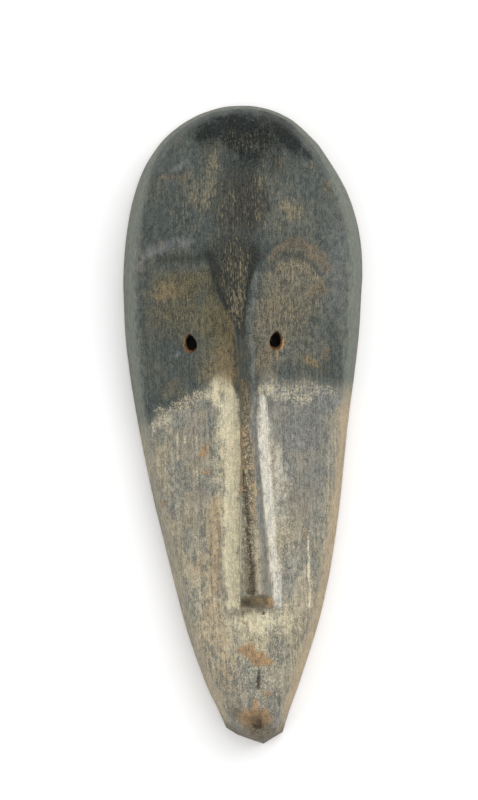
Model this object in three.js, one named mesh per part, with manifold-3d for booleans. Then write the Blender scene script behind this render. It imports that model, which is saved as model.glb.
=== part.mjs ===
// A small wooden face mask, carved from one block and lying on its back rim with its face up.
// Millimetres. +Z is up, out of the face; +Y runs along the nose to the crown; X runs across the face.
// The origin is the middle of the outline, on the flat rim that the mask rests on.
import * as THREE from "three";
import { ConvexHull } from "three/addons/math/ConvexHull.js";
import { mergeVertices } from "three/addons/utils/BufferGeometryUtils.js";
import Module from "manifold-3d";

// Driving sizes
const LENGTH = 200;
const WIDTH = 75;
const HALF_LENGTH = LENGTH / 2;
const HALF_WIDTH = WIDTH / 2;

const WIDEST_AT = 45; // the crown is round above this y, and the cheeks taper below it
const CROWN_POWER = 2.15; // 2 is an ellipse, more is fuller
const CHIN_RIGHT = [8.5, -96.4]; // bevels cut the chin off, and meet at its point
const CHIN_POINT = [2.4, -HALF_LENGTH];
const CHIN_KNEE = [-5.6, -97];
const CHIN_LEFT = [-8.6, -94.6];
const KNIFE_CUTS = [[-29.4, -24.4, -18.3], [5.1, 8.9, 16.9, 24.8, 33]]; // x where flats meet
const KNIFE_DEPTH = 0.4; // how nearly straight the crown is between them

const RIM_WIDTH = 5.5; // flat back edge that the mask rests on
const RIM_HEIGHT = 3; // upright strip above the back edge
const SIDE_SLOPE = 5; // rise of the side wall for each millimetre in from the outline
const SIDE_ROUNDING = 2.2; // softness of the edge between side wall and face

const WALL = 7; // thickness of the wood over the hollow
const HOLLOW_SLOPE = 4; // rise of the hollow's own side wall
const HOLLOW_ROUNDING = 9;
const HOLLOW_END = -88; // y of the hollow's round end in the chin
const HOLLOW_FULL = -79; // y from which the hollow follows the outline

const FOREHEAD_DROP = 24; // how far the forehead falls from its middle line to the sides
const NOSE_ROOF = 0.26; // slope of the two faces that meet along the top of the nose
const NOSE_HALF = 7; // how far out from the nose's ridge they go

// Half of the width of the back rim, and how far its middle is off the middle line: [y, mm]
const HALF_WIDTHS = [
  [-97, 8.3],
  [-90, 10.9],
  [-80, 15],
  [-60, 21.5],
  [-30, 28],
  [0, 32.8],
  [25, 36.3],
  [WIDEST_AT, HALF_WIDTH],
];
const LEAN = [
  [-96, 0],
  [-80, -0.4],
  [-45, 0],
  [0, -1.1],
  [30, -0.6],
  [60, 0.3],
  [90, -0.7],
  [99, 0.3],
];

// Height above the rim along the middle line: [y, z]
const CREST = [
  [-62, 33.4],
  [-52, 34.6],
  [-25, 36],
  [0, 37.2],
  [15, 38.2],
  [30, 40.2],
  [46, 42],
  [62, 41.2],
  [76, 37.4],
  [88, 30.6],
  [96, 23],
  [100, 17],
];
const FACE = [
  [-100, 14],
  [-94, 19.4],
  [-86, 22.8],
  [-77, 24.2],
  [-56, 26],
  [-20, 28.8],
  [0, 30.8],
  [25, 34],
  [42, 37.4],
  [56, 39.6],
];
const SPINE = [
  [-50, 0.6],
  [-8, 0.4],
  [10, 0.1],
  [24, -1.1],
  [35, -1.4],
  [54, -0.4],
];

// Edge of the standing wood, which is forehead and nose: [x, y, width of its sloping flank].
// It runs over the left brow, down the left of the nose, under it, and up over the right brow.
const NOSE_END = -56.4;
const NOSE_END_RUN = 4.8;
const BROW_LEFT = [
  [-39.4, 33, 10],
  [-33.9, 43.5, 8],
  [-28.8, 50.7, 6],
  [-19.4, 55, 5],
  [-12.2, 50.5, 4],
  [-9, 41.3, 2.8],
  [-4.2, 30, 1.6],
  [-2.6, 18, 1.1],
  [-2.5, -7.3, 0.9],
  [-3.7, -38, 0.9],
  [-3.7, NOSE_END, 0.9],
];
const BROW_RIGHT = [
  [6.6, NOSE_END, 2.6],
  [5.9, -38, 2.6],
  [3.8, -7.5, 2.6],
  [2.9, 8, 2.5],
  [0.8, 20, 1.8],
  [0.6, 29, 1.8],
  [2.6, 42, 2.8],
  [7.7, 50.6, 4],
  [18.4, 54.6, 5],
  [28.2, 50, 6],
  [33.2, 42.5, 8],
  [38.6, 32, 10],
];

const EYES = [
  { x: -16.3, y: 25.6, turn: 9 },
  { x: 9.3, y: 25.7, turn: -9 },
];
const EYE_WIDTH = 4;
const EYE_HEIGHT = 6;
const HILLS = [
  { x: -16.4, y: 31, across: 10, along: 15, rise: -1.3 }, // left eye socket
  { x: 14.6, y: 30, across: 11, along: 15, rise: -1.3 }, // right eye socket
  { x: 0.8, y: -70.3, across: 7, along: 5, rise: 0.8 }, // mouth
  { x: 0, y: -89, across: 5, along: 5, rise: 1.5 }, // knob of the chin
];

// How finely the solid is faceted
const OUTLINE_STEP = 3.3;
const EDGE_STEP = 1.6;
const FRONT_STEP = 2.9;
const HOLLOW_STEP = 4.2;

const WOOD = { color: 0x5f5a50, roughness: 0.85, metalness: 0 };

// A smooth curve through [y, value] points, read at any y.
function profile(points) {
  return (y) => {
    const last = points.length - 1;
    if (y <= points[0][0]) return points[0][1];
    if (y >= points[last][0]) return points[last][1];
    let i = 0;
    while (points[i + 1][0] < y) i++;
    const slope = (a, b) => (points[b][1] - points[a][1]) / (points[b][0] - points[a][0]);
    const step = points[i + 1][0] - points[i][0];
    const t = (y - points[i][0]) / step;
    const m0 = slope(Math.max(i - 1, 0), i + 1) * step;
    const m1 = slope(i, Math.min(i + 2, last)) * step;
    const [a, b] = [points[i][1], points[i + 1][1]];
    return (
      (2 * t ** 3 - 3 * t ** 2 + 1) * a +
      (t ** 3 - 2 * t ** 2 + t) * m0 +
      (3 * t ** 2 - 2 * t ** 3) * b +
      (t ** 3 - t ** 2) * m1
    );
  };
}

const crest = profile(CREST);
const face = profile(FACE);
const spine = profile(SPINE);
const lean = profile(LEAN);
const taper = profile(HALF_WIDTHS);

// The smaller of a and b, with the corner between them rounded over about k.
function softMin(a, b, k) {
  const h = Math.max(k - Math.abs(a - b), 0) / k;
  return Math.min(a, b) - (h * h * k) / 4;
}

// Half of the width at y, `inset` in from the outline.
function halfWidth(y, inset) {
  if (y <= WIDEST_AT) return taper(y) - inset;
  const up = Math.min(1, (y - WIDEST_AT) / (HALF_LENGTH - inset - WIDEST_AT));
  return (HALF_WIDTH - inset) * (1 - up ** CROWN_POWER) ** (1 / CROWN_POWER);
}

// Points along a line, evenly spaced, with both ends.
function spaced(line, step) {
  const path = new THREE.Path(line);
  return path.getSpacedPoints(Math.max(1, Math.round(path.getLength() / step)));
}

// One side of the mask from y `from` up to the middle of the crown: side is 1 or -1, and narrow
// gives the share of the width that is left at y.
function sideLine(side, from, inset, narrow = () => 1) {
  const steps = 300;
  return Array.from({ length: steps + 1 }, (_, i) => {
    const rise = (1 - Math.cos((Math.PI * i) / steps)) / 2;
    const y = from + (HALF_LENGTH - inset - from) * rise;
    return new THREE.Vector2(lean(y) + side * narrow(y) * halfWidth(y, inset), y);
  });
}

// Height of the crown's curve at x.
function crownAt(x) {
  const off = Math.min(1, Math.abs(x - lean(90)) / HALF_WIDTH);
  return WIDEST_AT + (HALF_LENGTH - WIDEST_AT) * (1 - off ** CROWN_POWER) ** (1 / CROWN_POWER);
}

// Moves a point of the crown towards the flat that a knife left there.
function knifeCut(point) {
  if (point.y < WIDEST_AT) return point;
  for (const cuts of KNIFE_CUTS) {
    const next = cuts.findIndex((x) => x > point.x);
    if (next < 1) continue;
    const [a, b] = [cuts[next - 1], cuts[next]];
    const flat = THREE.MathUtils.mapLinear(point.x, a, b, crownAt(a), crownAt(b));
    point.y -= KNIFE_DEPTH * Math.max(0, crownAt(point.x) - flat);
  }
  return point;
}

// The outline of the mask, anticlockwise from the right corner of its chin.
const outline = (() => {
  const right = sideLine(1, CHIN_RIGHT[1], 0);
  const left = sideLine(-1, CHIN_LEFT[1], 0).reverse();
  const round = spaced([...right, ...left].map(knifeCut), OUTLINE_STEP);
  const [knee, tip] = [CHIN_KNEE, CHIN_POINT].map((at) => new THREE.Vector2(...at));
  const chin = [round[round.length - 1], knee, tip, round[0]];
  const bevels = chin.slice(1).flatMap((q, i) => spaced([chin[i], q], OUTLINE_STEP).slice(1));
  return [...round, ...bevels.slice(0, -1)];
})();

// The edge of the hollow on the back, with a round end at the chin.
const hollowEdge = (() => {
  const narrow = (y) => {
    const down = Math.max(0, (HOLLOW_FULL - y) / (HOLLOW_FULL - HOLLOW_END));
    return Math.sqrt(1 - down ** 2);
  };
  const right = sideLine(1, HOLLOW_END, RIM_WIDTH, narrow);
  const left = sideLine(-1, HOLLOW_END, RIM_WIDTH, narrow).reverse();
  return spaced([...right, ...left], OUTLINE_STEP).slice(0, -1);
})();

// The sides of a closed loop of points.
function sidesOf(loop) {
  return loop.map((p, i) => ({ p, q: loop[(i + 1) % loop.length] }));
}

// The sides of the standing wood's edge, in one closed loop that passes far above the crown.
// Each side has the width of its flank at both ends.
const standingSides = (() => {
  const trace = (points) => {
    const curve = new THREE.CatmullRomCurve3(points.map((p) => new THREE.Vector3(...p)));
    return curve.getSpacedPoints(Math.round(curve.getLength() / EDGE_STEP));
  };
  const left = trace(BROW_LEFT);
  const right = trace(BROW_RIGHT);
  const [noseLeft, noseRight] = [left[left.length - 1], right[0]];
  const under = spaced([noseLeft, noseRight], EDGE_STEP);
  const above = [right[right.length - 1], { x: LENGTH, y: LENGTH }, { x: -LENGTH, y: LENGTH }, left[0]];
  const chain = (points, run) =>
    points.slice(1).map((q, i) => ({ p: points[i], q, runs: [run ?? points[i].z, run ?? q.z] }));
  return [...chain(left), ...chain(under, NOSE_END_RUN), ...chain(right), ...chain(above, 5)];
})();

// How far a point is from one side, and how far along the side the nearest place is.
function toSide(x, y, { p, q }) {
  const [dx, dy] = [q.x - p.x, q.y - p.y];
  const along = ((x - p.x) * dx + (y - p.y) * dy) / (dx * dx + dy * dy);
  const t = Math.min(1, Math.max(0, along));
  return { distance: Math.hypot(x - p.x - t * dx, y - p.y - t * dy), t };
}

// Whether a point is inside a closed loop of sides.
function isInside(x, y, sides) {
  let within = false;
  for (const { p, q } of sides) {
    const crosses = p.y > y !== q.y > y;
    if (crosses && x < p.x + ((y - p.y) / (q.y - p.y)) * (q.x - p.x)) within = !within;
  }
  return within;
}

// How far in from a closed loop of sides a point is, less than 0 outside it.
function insetFrom(x, y, sides) {
  const distance = Math.min(...sides.map((side) => toSide(x, y, side).distance));
  return isInside(x, y, sides) ? distance : -distance;
}

const outlineSides = sidesOf(outline);
const hollowSides = sidesOf(hollowEdge);

// 0 on the cut face, 1 on the standing wood, and between the two on the flank that joins them.
function standingShare(x, y) {
  if (!isInside(x, y, standingSides)) return 0;
  let share = 1;
  for (const side of standingSides) {
    const { distance, t } = toSide(x, y, side);
    share = Math.min(share, distance / THREE.MathUtils.lerp(...side.runs, t));
  }
  return softMin(share, 1, 0.3);
}

// An oval hill or hollow, 1 in its middle and 0 at its edge.
function oval(x, y, hill) {
  const r = Math.hypot((x - hill.x) / hill.across, (y - hill.y) / hill.along);
  return r >= 1 ? 0 : (1 - r * r) ** 2;
}

// Height of the forehead and of the top of the nose.
function standingTop(x, y) {
  const offRidge = Math.min(Math.hypot(x - spine(y), 0.6) - 0.6, NOSE_HALF);
  const nose = THREE.MathUtils.smoothstep(-y, -34, -14);
  const fall = FOREHEAD_DROP * (Math.abs(x) / HALF_WIDTH) ** 2.3;
  return crest(y) - fall - NOSE_ROOF * nose * offRidge;
}

// Height of the cheeks, the eye sockets and the chin.
function cutFace(x, y) {
  const half = taper(y);
  let z = face(y) - (1.5 + 0.44 * half) * Math.min(1, Math.abs(x) / half) ** 2;
  for (const hill of HILLS) z += hill.rise * oval(x, y, hill);
  return z;
}

// Height of the outside of the mask.
function outside(x, y) {
  const high = standingTop(x, y);
  const low = Math.min(cutFace(x, y), high);
  const body = low + (high - low) * standingShare(x, y);
  const wall = RIM_HEIGHT + SIDE_SLOPE * insetFrom(x, y, outlineSides);
  return softMin(body, wall, SIDE_ROUNDING);
}

// Height of the hollow, which follows the face and not the nose.
function hollow(x, y) {
  const high = standingTop(x, y);
  const low = Math.min(cutFace(x, y), high);
  const roof = low + (high - low) * THREE.MathUtils.smoothstep(y, 20, 60) - WALL;
  const wall = HOLLOW_SLOPE * insetFrom(x, y, hollowSides);
  return Math.max(0, softMin(roof, wall, HOLLOW_ROUNDING));
}

// The start of each side, moved to the left of the side by the given distance.
function movedLeft(sides, distance) {
  return sides.map((side) => {
    const { p, q } = side;
    const length = Math.hypot(q.x - p.x, q.y - p.y);
    const by = distance(side) / length;
    return new THREE.Vector2(p.x - (q.y - p.y) * by, p.y + (q.x - p.x) * by);
  });
}

// Points in even rows over the whole outline, each row shifted by half a step.
function lattice(step) {
  const points = [];
  const rise = (step * Math.sqrt(3)) / 2;
  for (let row = 0; row * rise < LENGTH; row++) {
    const shift = (row % 2) * (step / 2);
    for (let x = -HALF_WIDTH - step; x < HALF_WIDTH + step; x += step) {
      points.push(new THREE.Vector2(x + shift, row * rise - HALF_LENGTH));
    }
  }
  return points;
}

// Adds the points that are at least `margin` in from a loop and `apart` from those already there.
function addSpaced(points, more, apart, sides, margin) {
  for (const point of more) {
    if (insetFrom(point.x, point.y, sides) < margin) continue;
    if (points.every((other) => other.distanceTo(point) >= apart)) points.push(point);
  }
}

// Points along the ridge of the nose, up to where its top becomes narrow.
function ridgePoints() {
  const [low, high] = [NOSE_END + NOSE_END_RUN, 2];
  const count = Math.round((high - low) / EDGE_STEP);
  return Array.from({ length: count + 1 }, (_, i) => {
    const y = low + ((high - low) * i) / count;
    return new THREE.Vector2(spine(y), y);
  });
}

// Points for the front: rows up the side wall, rows along the standing wood's edge, and a lattice.
function frontPoints() {
  const points = [...outline];
  for (const inset of [2.6, 3.5, 4.3, 5.4]) {
    const row = movedLeft(outlineSides, () => inset);
    addSpaced(points, row, 0.75, outlineSides, inset - 0.15);
  }
  addSpaced(points, ridgePoints(), EDGE_STEP / 2, outlineSides, 0);
  for (const share of [0, 1, 0.5, -0.45]) {
    const row = movedLeft(standingSides, ({ runs }) => share * runs[0]);
    addSpaced(points, row, 0.55, outlineSides, 5.6);
  }
  addSpaced(points, lattice(FRONT_STEP), FRONT_STEP * 0.7, outlineSides, 6);
  return points;
}

// Points for the back: the outline, the edge of the hollow, rows up its wall, and a lattice.
function backPoints() {
  const points = [...outline, ...hollowEdge];
  for (const inset of [1.6, 3.2, 4.8, 6.4, 8.2, 10.4]) {
    const row = movedLeft(hollowSides, () => inset);
    addSpaced(points, row, 1.5, hollowSides, inset - 0.1);
  }
  addSpaced(points, lattice(HOLLOW_STEP), HOLLOW_STEP * 0.75, hollowSides, 12);
  return points;
}

// Triangles between points seen from above, each as near to equal-sided as it can be: with the
// points raised onto a bowl, they are the lower side of the points' hull.
function triangles(points) {
  const bowl = points.map(({ x, y }) => new THREE.Vector3(x, y, (x * x + y * y) / LENGTH));
  const order = new Map(bowl.map((point, i) => [point, i]));
  const found = [];
  for (const { edge, normal } of new ConvexHull().setFromPoints(bowl).faces) {
    if (normal.z > -1e-6) continue;
    const corners = [edge.prev, edge.next, edge].map((at) => order.get(at.head().point));
    const x = corners.reduce((sum, i) => sum + points[i].x, 0) / 3;
    const y = corners.reduce((sum, i) => sum + points[i].y, 0) / 3;
    if (isInside(x, y, outlineSides)) found.push(corners);
  }
  return found;
}

// The mask without its eye holes.
function blankGeometry() {
  const front = frontPoints();
  const back = backPoints();
  const rim = outline.length + hollowEdge.length;
  const top = front.map(({ x, y }, i) => [x, y, i < outline.length ? RIM_HEIGHT : outside(x, y)]);
  const under = back.map(({ x, y }, i) => [x, y, i < rim ? 0 : hollow(x, y)]);
  const corners = [];
  for (const [a, b, c] of triangles(front)) corners.push(top[a], top[b], top[c]);
  for (const [a, b, c] of triangles(back)) corners.push(under[a], under[c], under[b]);
  outline.forEach((_, i) => {
    const j = (i + 1) % outline.length;
    corners.push(under[i], under[j], top[j], under[i], top[j], top[i]);
  });
  const geometry = new THREE.BufferGeometry();
  geometry.setAttribute("position", new THREE.Float32BufferAttribute(corners.flat(), 3));
  return geometry;
}

// A leaf-shaped cutter for one eye, pointed at its top and leaning outwards.
function eyeGeometry({ x, y, turn }) {
  const leaf = new THREE.Shape();
  const [w, h] = [EYE_WIDTH / 2, EYE_HEIGHT / 2];
  leaf.moveTo(0, -h);
  leaf.bezierCurveTo(w * 1.25, -h, w * 1.35, h * 0.4, 0, h);
  leaf.bezierCurveTo(-w * 1.35, h * 0.4, -w * 1.25, -h, 0, -h);
  const cutter = new THREE.ExtrudeGeometry(leaf, {
    depth: LENGTH / 4,
    bevelEnabled: false,
    curveSegments: 8,
  });
  cutter.rotateZ(THREE.MathUtils.degToRad(turn));
  return cutter.translate(x, y, RIM_HEIGHT);
}

const wasm = await Module();
wasm.setup();

// A closed three.js geometry as a solid that can be cut.
function solid(geometry) {
  const bare = geometry.clone();
  bare.deleteAttribute("normal");
  bare.deleteAttribute("uv");
  const merged = mergeVertices(bare, 1e-3);
  return new wasm.Manifold(
    new wasm.Mesh({
      numProp: 3,
      vertProperties: merged.attributes.position.array,
      triVerts: new Uint32Array(merged.index.array),
    }),
  );
}

function geometryOf(body) {
  const mesh = body.getMesh();
  const geometry = new THREE.BufferGeometry();
  geometry.setAttribute("position", new THREE.BufferAttribute(mesh.vertProperties, 3));
  geometry.setIndex(new THREE.BufferAttribute(mesh.triVerts, 1));
  geometry.computeVertexNormals();
  return geometry;
}

function maskMesh() {
  let body = solid(blankGeometry());
  for (const eye of EYES) body = body.subtract(solid(eyeGeometry(eye)));
  const mesh = new THREE.Mesh(geometryOf(body), new THREE.MeshStandardMaterial(WOOD));
  mesh.name = "mask";
  return mesh;
}

const object = new THREE.Group();
object.add(maskMesh());

export default object;
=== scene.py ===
"""Dresses the small carved face mask: its fine carved surface, its worn paint, and a plain studio.

The mask lies face up on its back rim. Lengths here are millimetres in the mask's own frame, as a
carver would measure them, unless a name or a comment says otherwise. They become metres when the
mesh is made. X runs across the face, Y from chin to crown, and Z out of the face.
"""

import logging
import math
from dataclasses import dataclass, field
from enum import Enum
from typing import Any, Iterable

import bpy
import numpy as np
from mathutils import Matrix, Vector
from mathutils.geometry import delaunay_2d_cdt
from mathutils.kdtree import KDTree
from mathutils.noise import noise_vector, seed_set


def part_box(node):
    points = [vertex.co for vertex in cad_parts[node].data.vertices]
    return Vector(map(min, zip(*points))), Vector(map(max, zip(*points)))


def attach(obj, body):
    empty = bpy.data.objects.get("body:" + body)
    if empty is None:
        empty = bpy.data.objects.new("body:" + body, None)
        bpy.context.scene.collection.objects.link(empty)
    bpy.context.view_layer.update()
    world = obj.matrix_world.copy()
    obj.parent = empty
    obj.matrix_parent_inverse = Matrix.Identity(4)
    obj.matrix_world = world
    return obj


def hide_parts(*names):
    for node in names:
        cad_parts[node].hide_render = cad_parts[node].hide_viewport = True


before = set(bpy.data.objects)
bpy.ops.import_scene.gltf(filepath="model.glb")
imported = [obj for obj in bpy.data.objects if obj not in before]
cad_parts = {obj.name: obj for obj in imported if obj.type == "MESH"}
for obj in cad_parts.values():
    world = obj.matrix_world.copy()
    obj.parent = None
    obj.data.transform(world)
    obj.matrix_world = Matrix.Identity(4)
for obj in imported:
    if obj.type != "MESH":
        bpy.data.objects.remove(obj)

log = logging.getLogger("mask")

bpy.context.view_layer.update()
MM = 0.001
POINTS_AT_ONCE = 1500
WANDER_SEED = 7
# The width and length of the waves in the marks' edges, and where they are cut out of the noise.
BROAD_WAVE = (4.5, 6.0, 0.5)
FINE_WAVE = (1.3, 1.8, 7.5)
Points = np.ndarray
Pairs = tuple[tuple[float, float], ...]
Places = tuple[tuple[float, float, float], ...]


def smooth(low: float, high: float, value: Points) -> Points:
    """A smooth ramp from 0 at low to 1 at high."""
    t = np.clip((value - low) / (high - low), 0, 1)
    return t * t * (3 - 2 * t)


def soft_min(a: Points, b: Points, k: float) -> Points:
    """The smaller of a and b, with the corner between them rounded over about k."""
    h = np.maximum(k - np.abs(a - b), 0) / k
    return np.minimum(a, b) - h * h * k / 4


def linear(red: float, green: float, blue: float) -> tuple[float, float, float, float]:
    """A colour as it is seen on a screen, as the linear colour that a shader takes.

    Args:
        red: its red, 0 to 255.
        green: its green, 0 to 255.
        blue: its blue, 0 to 255.

    Returns:
        The colour with its alpha, 0 to 1.
    """
    parts = [c / 255 for c in (red, green, blue)]
    parts = [c / 12.92 if c <= 0.04045 else ((c + 0.055) / 1.055) ** 2.4 for c in parts]
    return (*parts, 1.0)


def turned(points: Points, degrees: float) -> Points:
    """Points turned about the origin, anticlockwise."""
    a = math.radians(degrees)
    return points @ np.array([[math.cos(a), math.sin(a)], [-math.sin(a), math.cos(a)]])


def waves(points: Points, wave: tuple[float, float, float]) -> Points:
    """Soft random pushes along X and Y by a wave's width, length and place in the noise."""
    wide, long, cut = wave
    return np.array([noise_vector((x / wide, y / long, cut)) for x, y in points.tolist()])[:, :2]


def wandered(points: Points, reach: float = 2.2, fine_reach: float = 1.0) -> Points:
    """Points pushed about by broad and fine waves, so that what they lay out gets ragged edges."""
    seed_set(WANDER_SEED)
    return points + waves(points, BROAD_WAVE) * reach + waves(points, FINE_WAVE) * fine_reach


def spaced(line: Points, step: float) -> Points:
    """Points along a line of points, evenly spaced, with both ends.

    Args:
        line: the line's corners, one row each.
        step: about how far apart the new points are.

    Returns:
        The new points, one row each.
    """
    along = np.concatenate([[0], np.cumsum(np.linalg.norm(np.diff(line, axis=0), axis=1))])
    at = np.linspace(0, along[-1], max(1, round(along[-1] / step)) + 1)
    return np.stack([np.interp(at, along, line[:, k]) for k in range(line.shape[1])], axis=1)


def parts_of(points: Points) -> list[Points]:
    """The points in parts small enough for a table of each point by each side of a loop."""
    return np.array_split(points, len(points) // POINTS_AT_ONCE + 1)


@dataclass(frozen=True)
class Profile:
    """A smooth curve through (place, value) pairs, held level past its ends."""

    pairs: Pairs

    def __call__(self, at: Points) -> Points:
        """The curve's value at each place.

        Args:
            at: the places.

        Returns:
            One value for each place.
        """
        place, value = np.array(self.pairs, dtype=float).T
        at = np.clip(at, place[0], place[-1])
        last = len(place) - 1
        i = np.clip(np.searchsorted(place, at, side="left") - 1, 0, last - 1)
        before, after = np.maximum(i - 1, 0), np.minimum(i + 2, last)
        step = place[i + 1] - place[i]
        t = (at - place[i]) / step
        m0 = (value[i + 1] - value[before]) / (place[i + 1] - place[before]) * step
        m1 = (value[after] - value[i]) / (place[after] - place[i]) * step
        return (
            (2 * t**3 - 3 * t**2 + 1) * value[i]
            + (t**3 - 2 * t**2 + t) * m0
            + (3 * t**2 - 2 * t**3) * value[i + 1]
            + (t**3 - t**2) * m1
        )


@dataclass
class Loop:
    """A closed line, anticlockwise, made of sides that each have a width at both ends."""

    start: Points
    end: Points
    run_start: Points
    run_end: Points
    tree: KDTree = field(init=False)

    def __post_init__(self) -> None:
        """Sorts the sides so that the nearest is found at once."""
        self.tree = KDTree(len(self.start))
        for number, (x, y) in enumerate(self.start.tolist()):
            self.tree.insert((x, y, 0), number)
        self.tree.balance()

    @classmethod
    def through(cls, points: Points) -> "Loop":
        """A loop through points, with sides that are 1 wide."""
        ones = np.ones(len(points))
        return cls(points, np.roll(points, -1, axis=0), ones, ones)

    def shares(self, at: Points) -> Points:
        """How far points are from the loop, counted in widths of the side they are nearest to.

        Args:
            at: the points, one row each.

        Returns:
            One number for each point.
        """
        side = self.end - self.start
        square = (side**2).sum(axis=1)
        found = []
        for part in parts_of(at):
            gap_x = part[:, :1] - self.start[:, 0]
            gap_y = part[:, 1:2] - self.start[:, 1]
            along = np.clip((gap_x * side[:, 0] + gap_y * side[:, 1]) / square, 0, 1)
            distance = np.hypot(gap_x - along * side[:, 0], gap_y - along * side[:, 1])
            run = self.run_start + (self.run_end - self.run_start) * along
            found.append((distance / run).min(axis=1))
        return np.concatenate(found)

    def holds(self, at: Points) -> Points:
        """Tells which points are inside the loop.

        Args:
            at: the points, one row each.

        Returns:
            True for each point inside.
        """
        found = []
        rise = self.end[:, 1] - self.start[:, 1]
        slope = (self.end[:, 0] - self.start[:, 0]) / np.where(rise == 0, 1, rise)
        for part in parts_of(at):
            x, y = part[:, :1], part[:, 1:2]
            crosses = (self.start[:, 1] > y) != (self.end[:, 1] > y)
            left = x < self.start[:, 0] + (y - self.start[:, 1]) * slope
            found.append((crosses & left).sum(axis=1) % 2 == 1)
        return np.concatenate(found)

    def inset(self, at: Points) -> Points:
        """How far in from a loop of short sides each point is, less than 0 outside it.

        Args:
            at: the points, one row each.

        Returns:
            One distance for each point.
        """
        find = self.tree.find
        near = np.array([find((x, y, 0))[1] for x, y in at.tolist()], dtype=int)
        best = np.full(len(at), np.inf)
        for shift in (-1, 0):
            number = (near + shift) % len(self.start)
            side = self.end[number] - self.start[number]
            gap = at - self.start[number]
            along = np.clip((gap * side).sum(axis=1) / (side**2).sum(axis=1), 0, 1)
            distance = np.linalg.norm(gap - along[:, None] * side, axis=1)
            turn = side[:, 0] * gap[:, 1] - side[:, 1] * gap[:, 0]
            signed = np.where(turn >= 0, distance, -distance)
            best = np.where(np.abs(signed) < np.abs(best), signed, best)
        return best

    def moved(self, distance: Points | float) -> Points:
        """Moves the start of each side to the left of the side.

        Args:
            distance: how far, for all sides or for each.

        Returns:
            The moved points, one row each.
        """
        side = self.end - self.start
        across = np.stack([-side[:, 1], side[:, 0]], axis=1)
        across /= np.linalg.norm(across, axis=1, keepdims=True)
        return self.start + across * np.reshape(distance, (-1, 1))


@dataclass(frozen=True)
class Hill:
    """An oval swelling of the face, or a hollow where it rises by less than nothing."""

    x: float
    y: float
    across: float
    along: float
    rise: float
    turn: float = 0.0

    def height(self, at: Points) -> Points:
        """Its height over each point.

        Args:
            at: the points, one row each.

        Returns:
            One height for each point.
        """
        off = turned(at - np.array([self.x, self.y]), -self.turn)
        r2 = (off[:, 0] / self.across) ** 2 + (off[:, 1] / self.along) ** 2
        return self.rise * np.clip(1 - r2, 0, 1) ** 2


@dataclass(frozen=True)
class EyeHole:
    """A leaf-shaped hole through the wood, worn wider on the side away from the nose."""

    x: float
    y: float
    turn: float
    side: int
    worn: float
    half_width: float = 2.0
    half_height: float = 3.0
    steps: int = 20

    # The control points of the leaf's right side, in half widths and half heights.
    LEAF = ((0, -1), (1.25, -1), (1.35, 0.4), (0, 1))

    def ring(self, spread: float, shift: float) -> Points:
        """The hole's edge as a closed line of points, anticlockwise from its lowest point.

        Args:
            spread: how much larger the edge is than the leaf, on every side.
            shift: how far it is moved away from the nose.

        Returns:
            The points, one row each.
        """
        w, h = self.half_width, self.half_height
        t = np.linspace(0, 1, self.steps + 1)[:, None]
        low, swell, shoulder, top = (np.array([a * w, b * h]) for a, b in self.LEAF)
        right = (
            (1 - t) ** 3 * low
            + 3 * (1 - t) ** 2 * t * swell
            + 3 * (1 - t) * t**2 * shoulder
            + t**3 * top
        )
        left = right[::-1] * np.array([-1, 1])
        leaf = np.concatenate([right[:-1], left[:-1]]) * np.array([1 + spread / w, 1 + spread / h])
        return turned(leaf, self.turn) + np.array([self.x + self.side * shift, self.y])


class Layer(Enum):
    """What the carver's paint, hands and years left on the wood, and in a few layers painted shade and
    highlights too. Each is one attribute.
    """

    CREAM = "cream"
    CHALK = "chalk"
    SLATE = "slate"
    OLIVE = "olive"
    TAN = "tan"
    SMEAR = "smear_and_highlight"
    FLECK = "fleck"
    DUSK = "dusk"
    BLACK = "black"
    UMBER_AND_SHADOW = "umber_and_shadow"
    OCHRE = "ochre"
    RUST = "rust"
    BARE = "bare"
    GRIME_AND_SHADE = "grime_and_shade"
    SPECK = "speck"


class Ground(Enum):
    """Which part of the face a mark lies on."""

    ALL = "all"
    CUT = "cut face"
    STANDING = "standing wood"


@dataclass(frozen=True)
class Patch:
    """A soft-edged oval of a layer."""

    x: float
    y: float
    across: float
    along: float
    amount: float = 1.0
    turn: float = 0.0
    ground: Ground = Ground.ALL
    softness: float = 0.6
    ragged: float = 1.0

    def share(self, at: Points) -> Points:
        """How much of the layer it puts on each point.

        Args:
            at: the points, one row each.

        Returns:
            One amount for each point.
        """
        off = turned(at - np.array([self.x, self.y]), -self.turn)
        reach = np.hypot(off[:, 0] / self.across, off[:, 1] / self.along)
        return self.amount * (1 - smooth(1 - self.softness, 1 + self.softness, reach))


@dataclass(frozen=True)
class Stroke:
    """A soft-edged line of a layer, through places that each have half of its width there."""

    places: Places
    amount: float = 1.0
    ground: Ground = Ground.ALL
    softness: float = 0.5
    ragged: float = 0.35

    def share(self, at: Points) -> Points:
        """How much of the layer it puts on each point.

        Args:
            at: the points, one row each.

        Returns:
            One amount for each point.
        """
        reach = np.full(len(at), np.inf)
        for a, b in zip(self.places, self.places[1:]):
            start, side = np.array(a[:2]), np.array(b[:2]) - np.array(a[:2])
            along = np.clip((at - start) @ side / (side @ side), 0, 1)
            distance = np.linalg.norm(at - start - along[:, None] * side, axis=1)
            reach = np.minimum(reach, distance / (a[2] + (b[2] - a[2]) * along))
        return self.amount * (1 - smooth(1 - self.softness, 1 + self.softness, reach))


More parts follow.
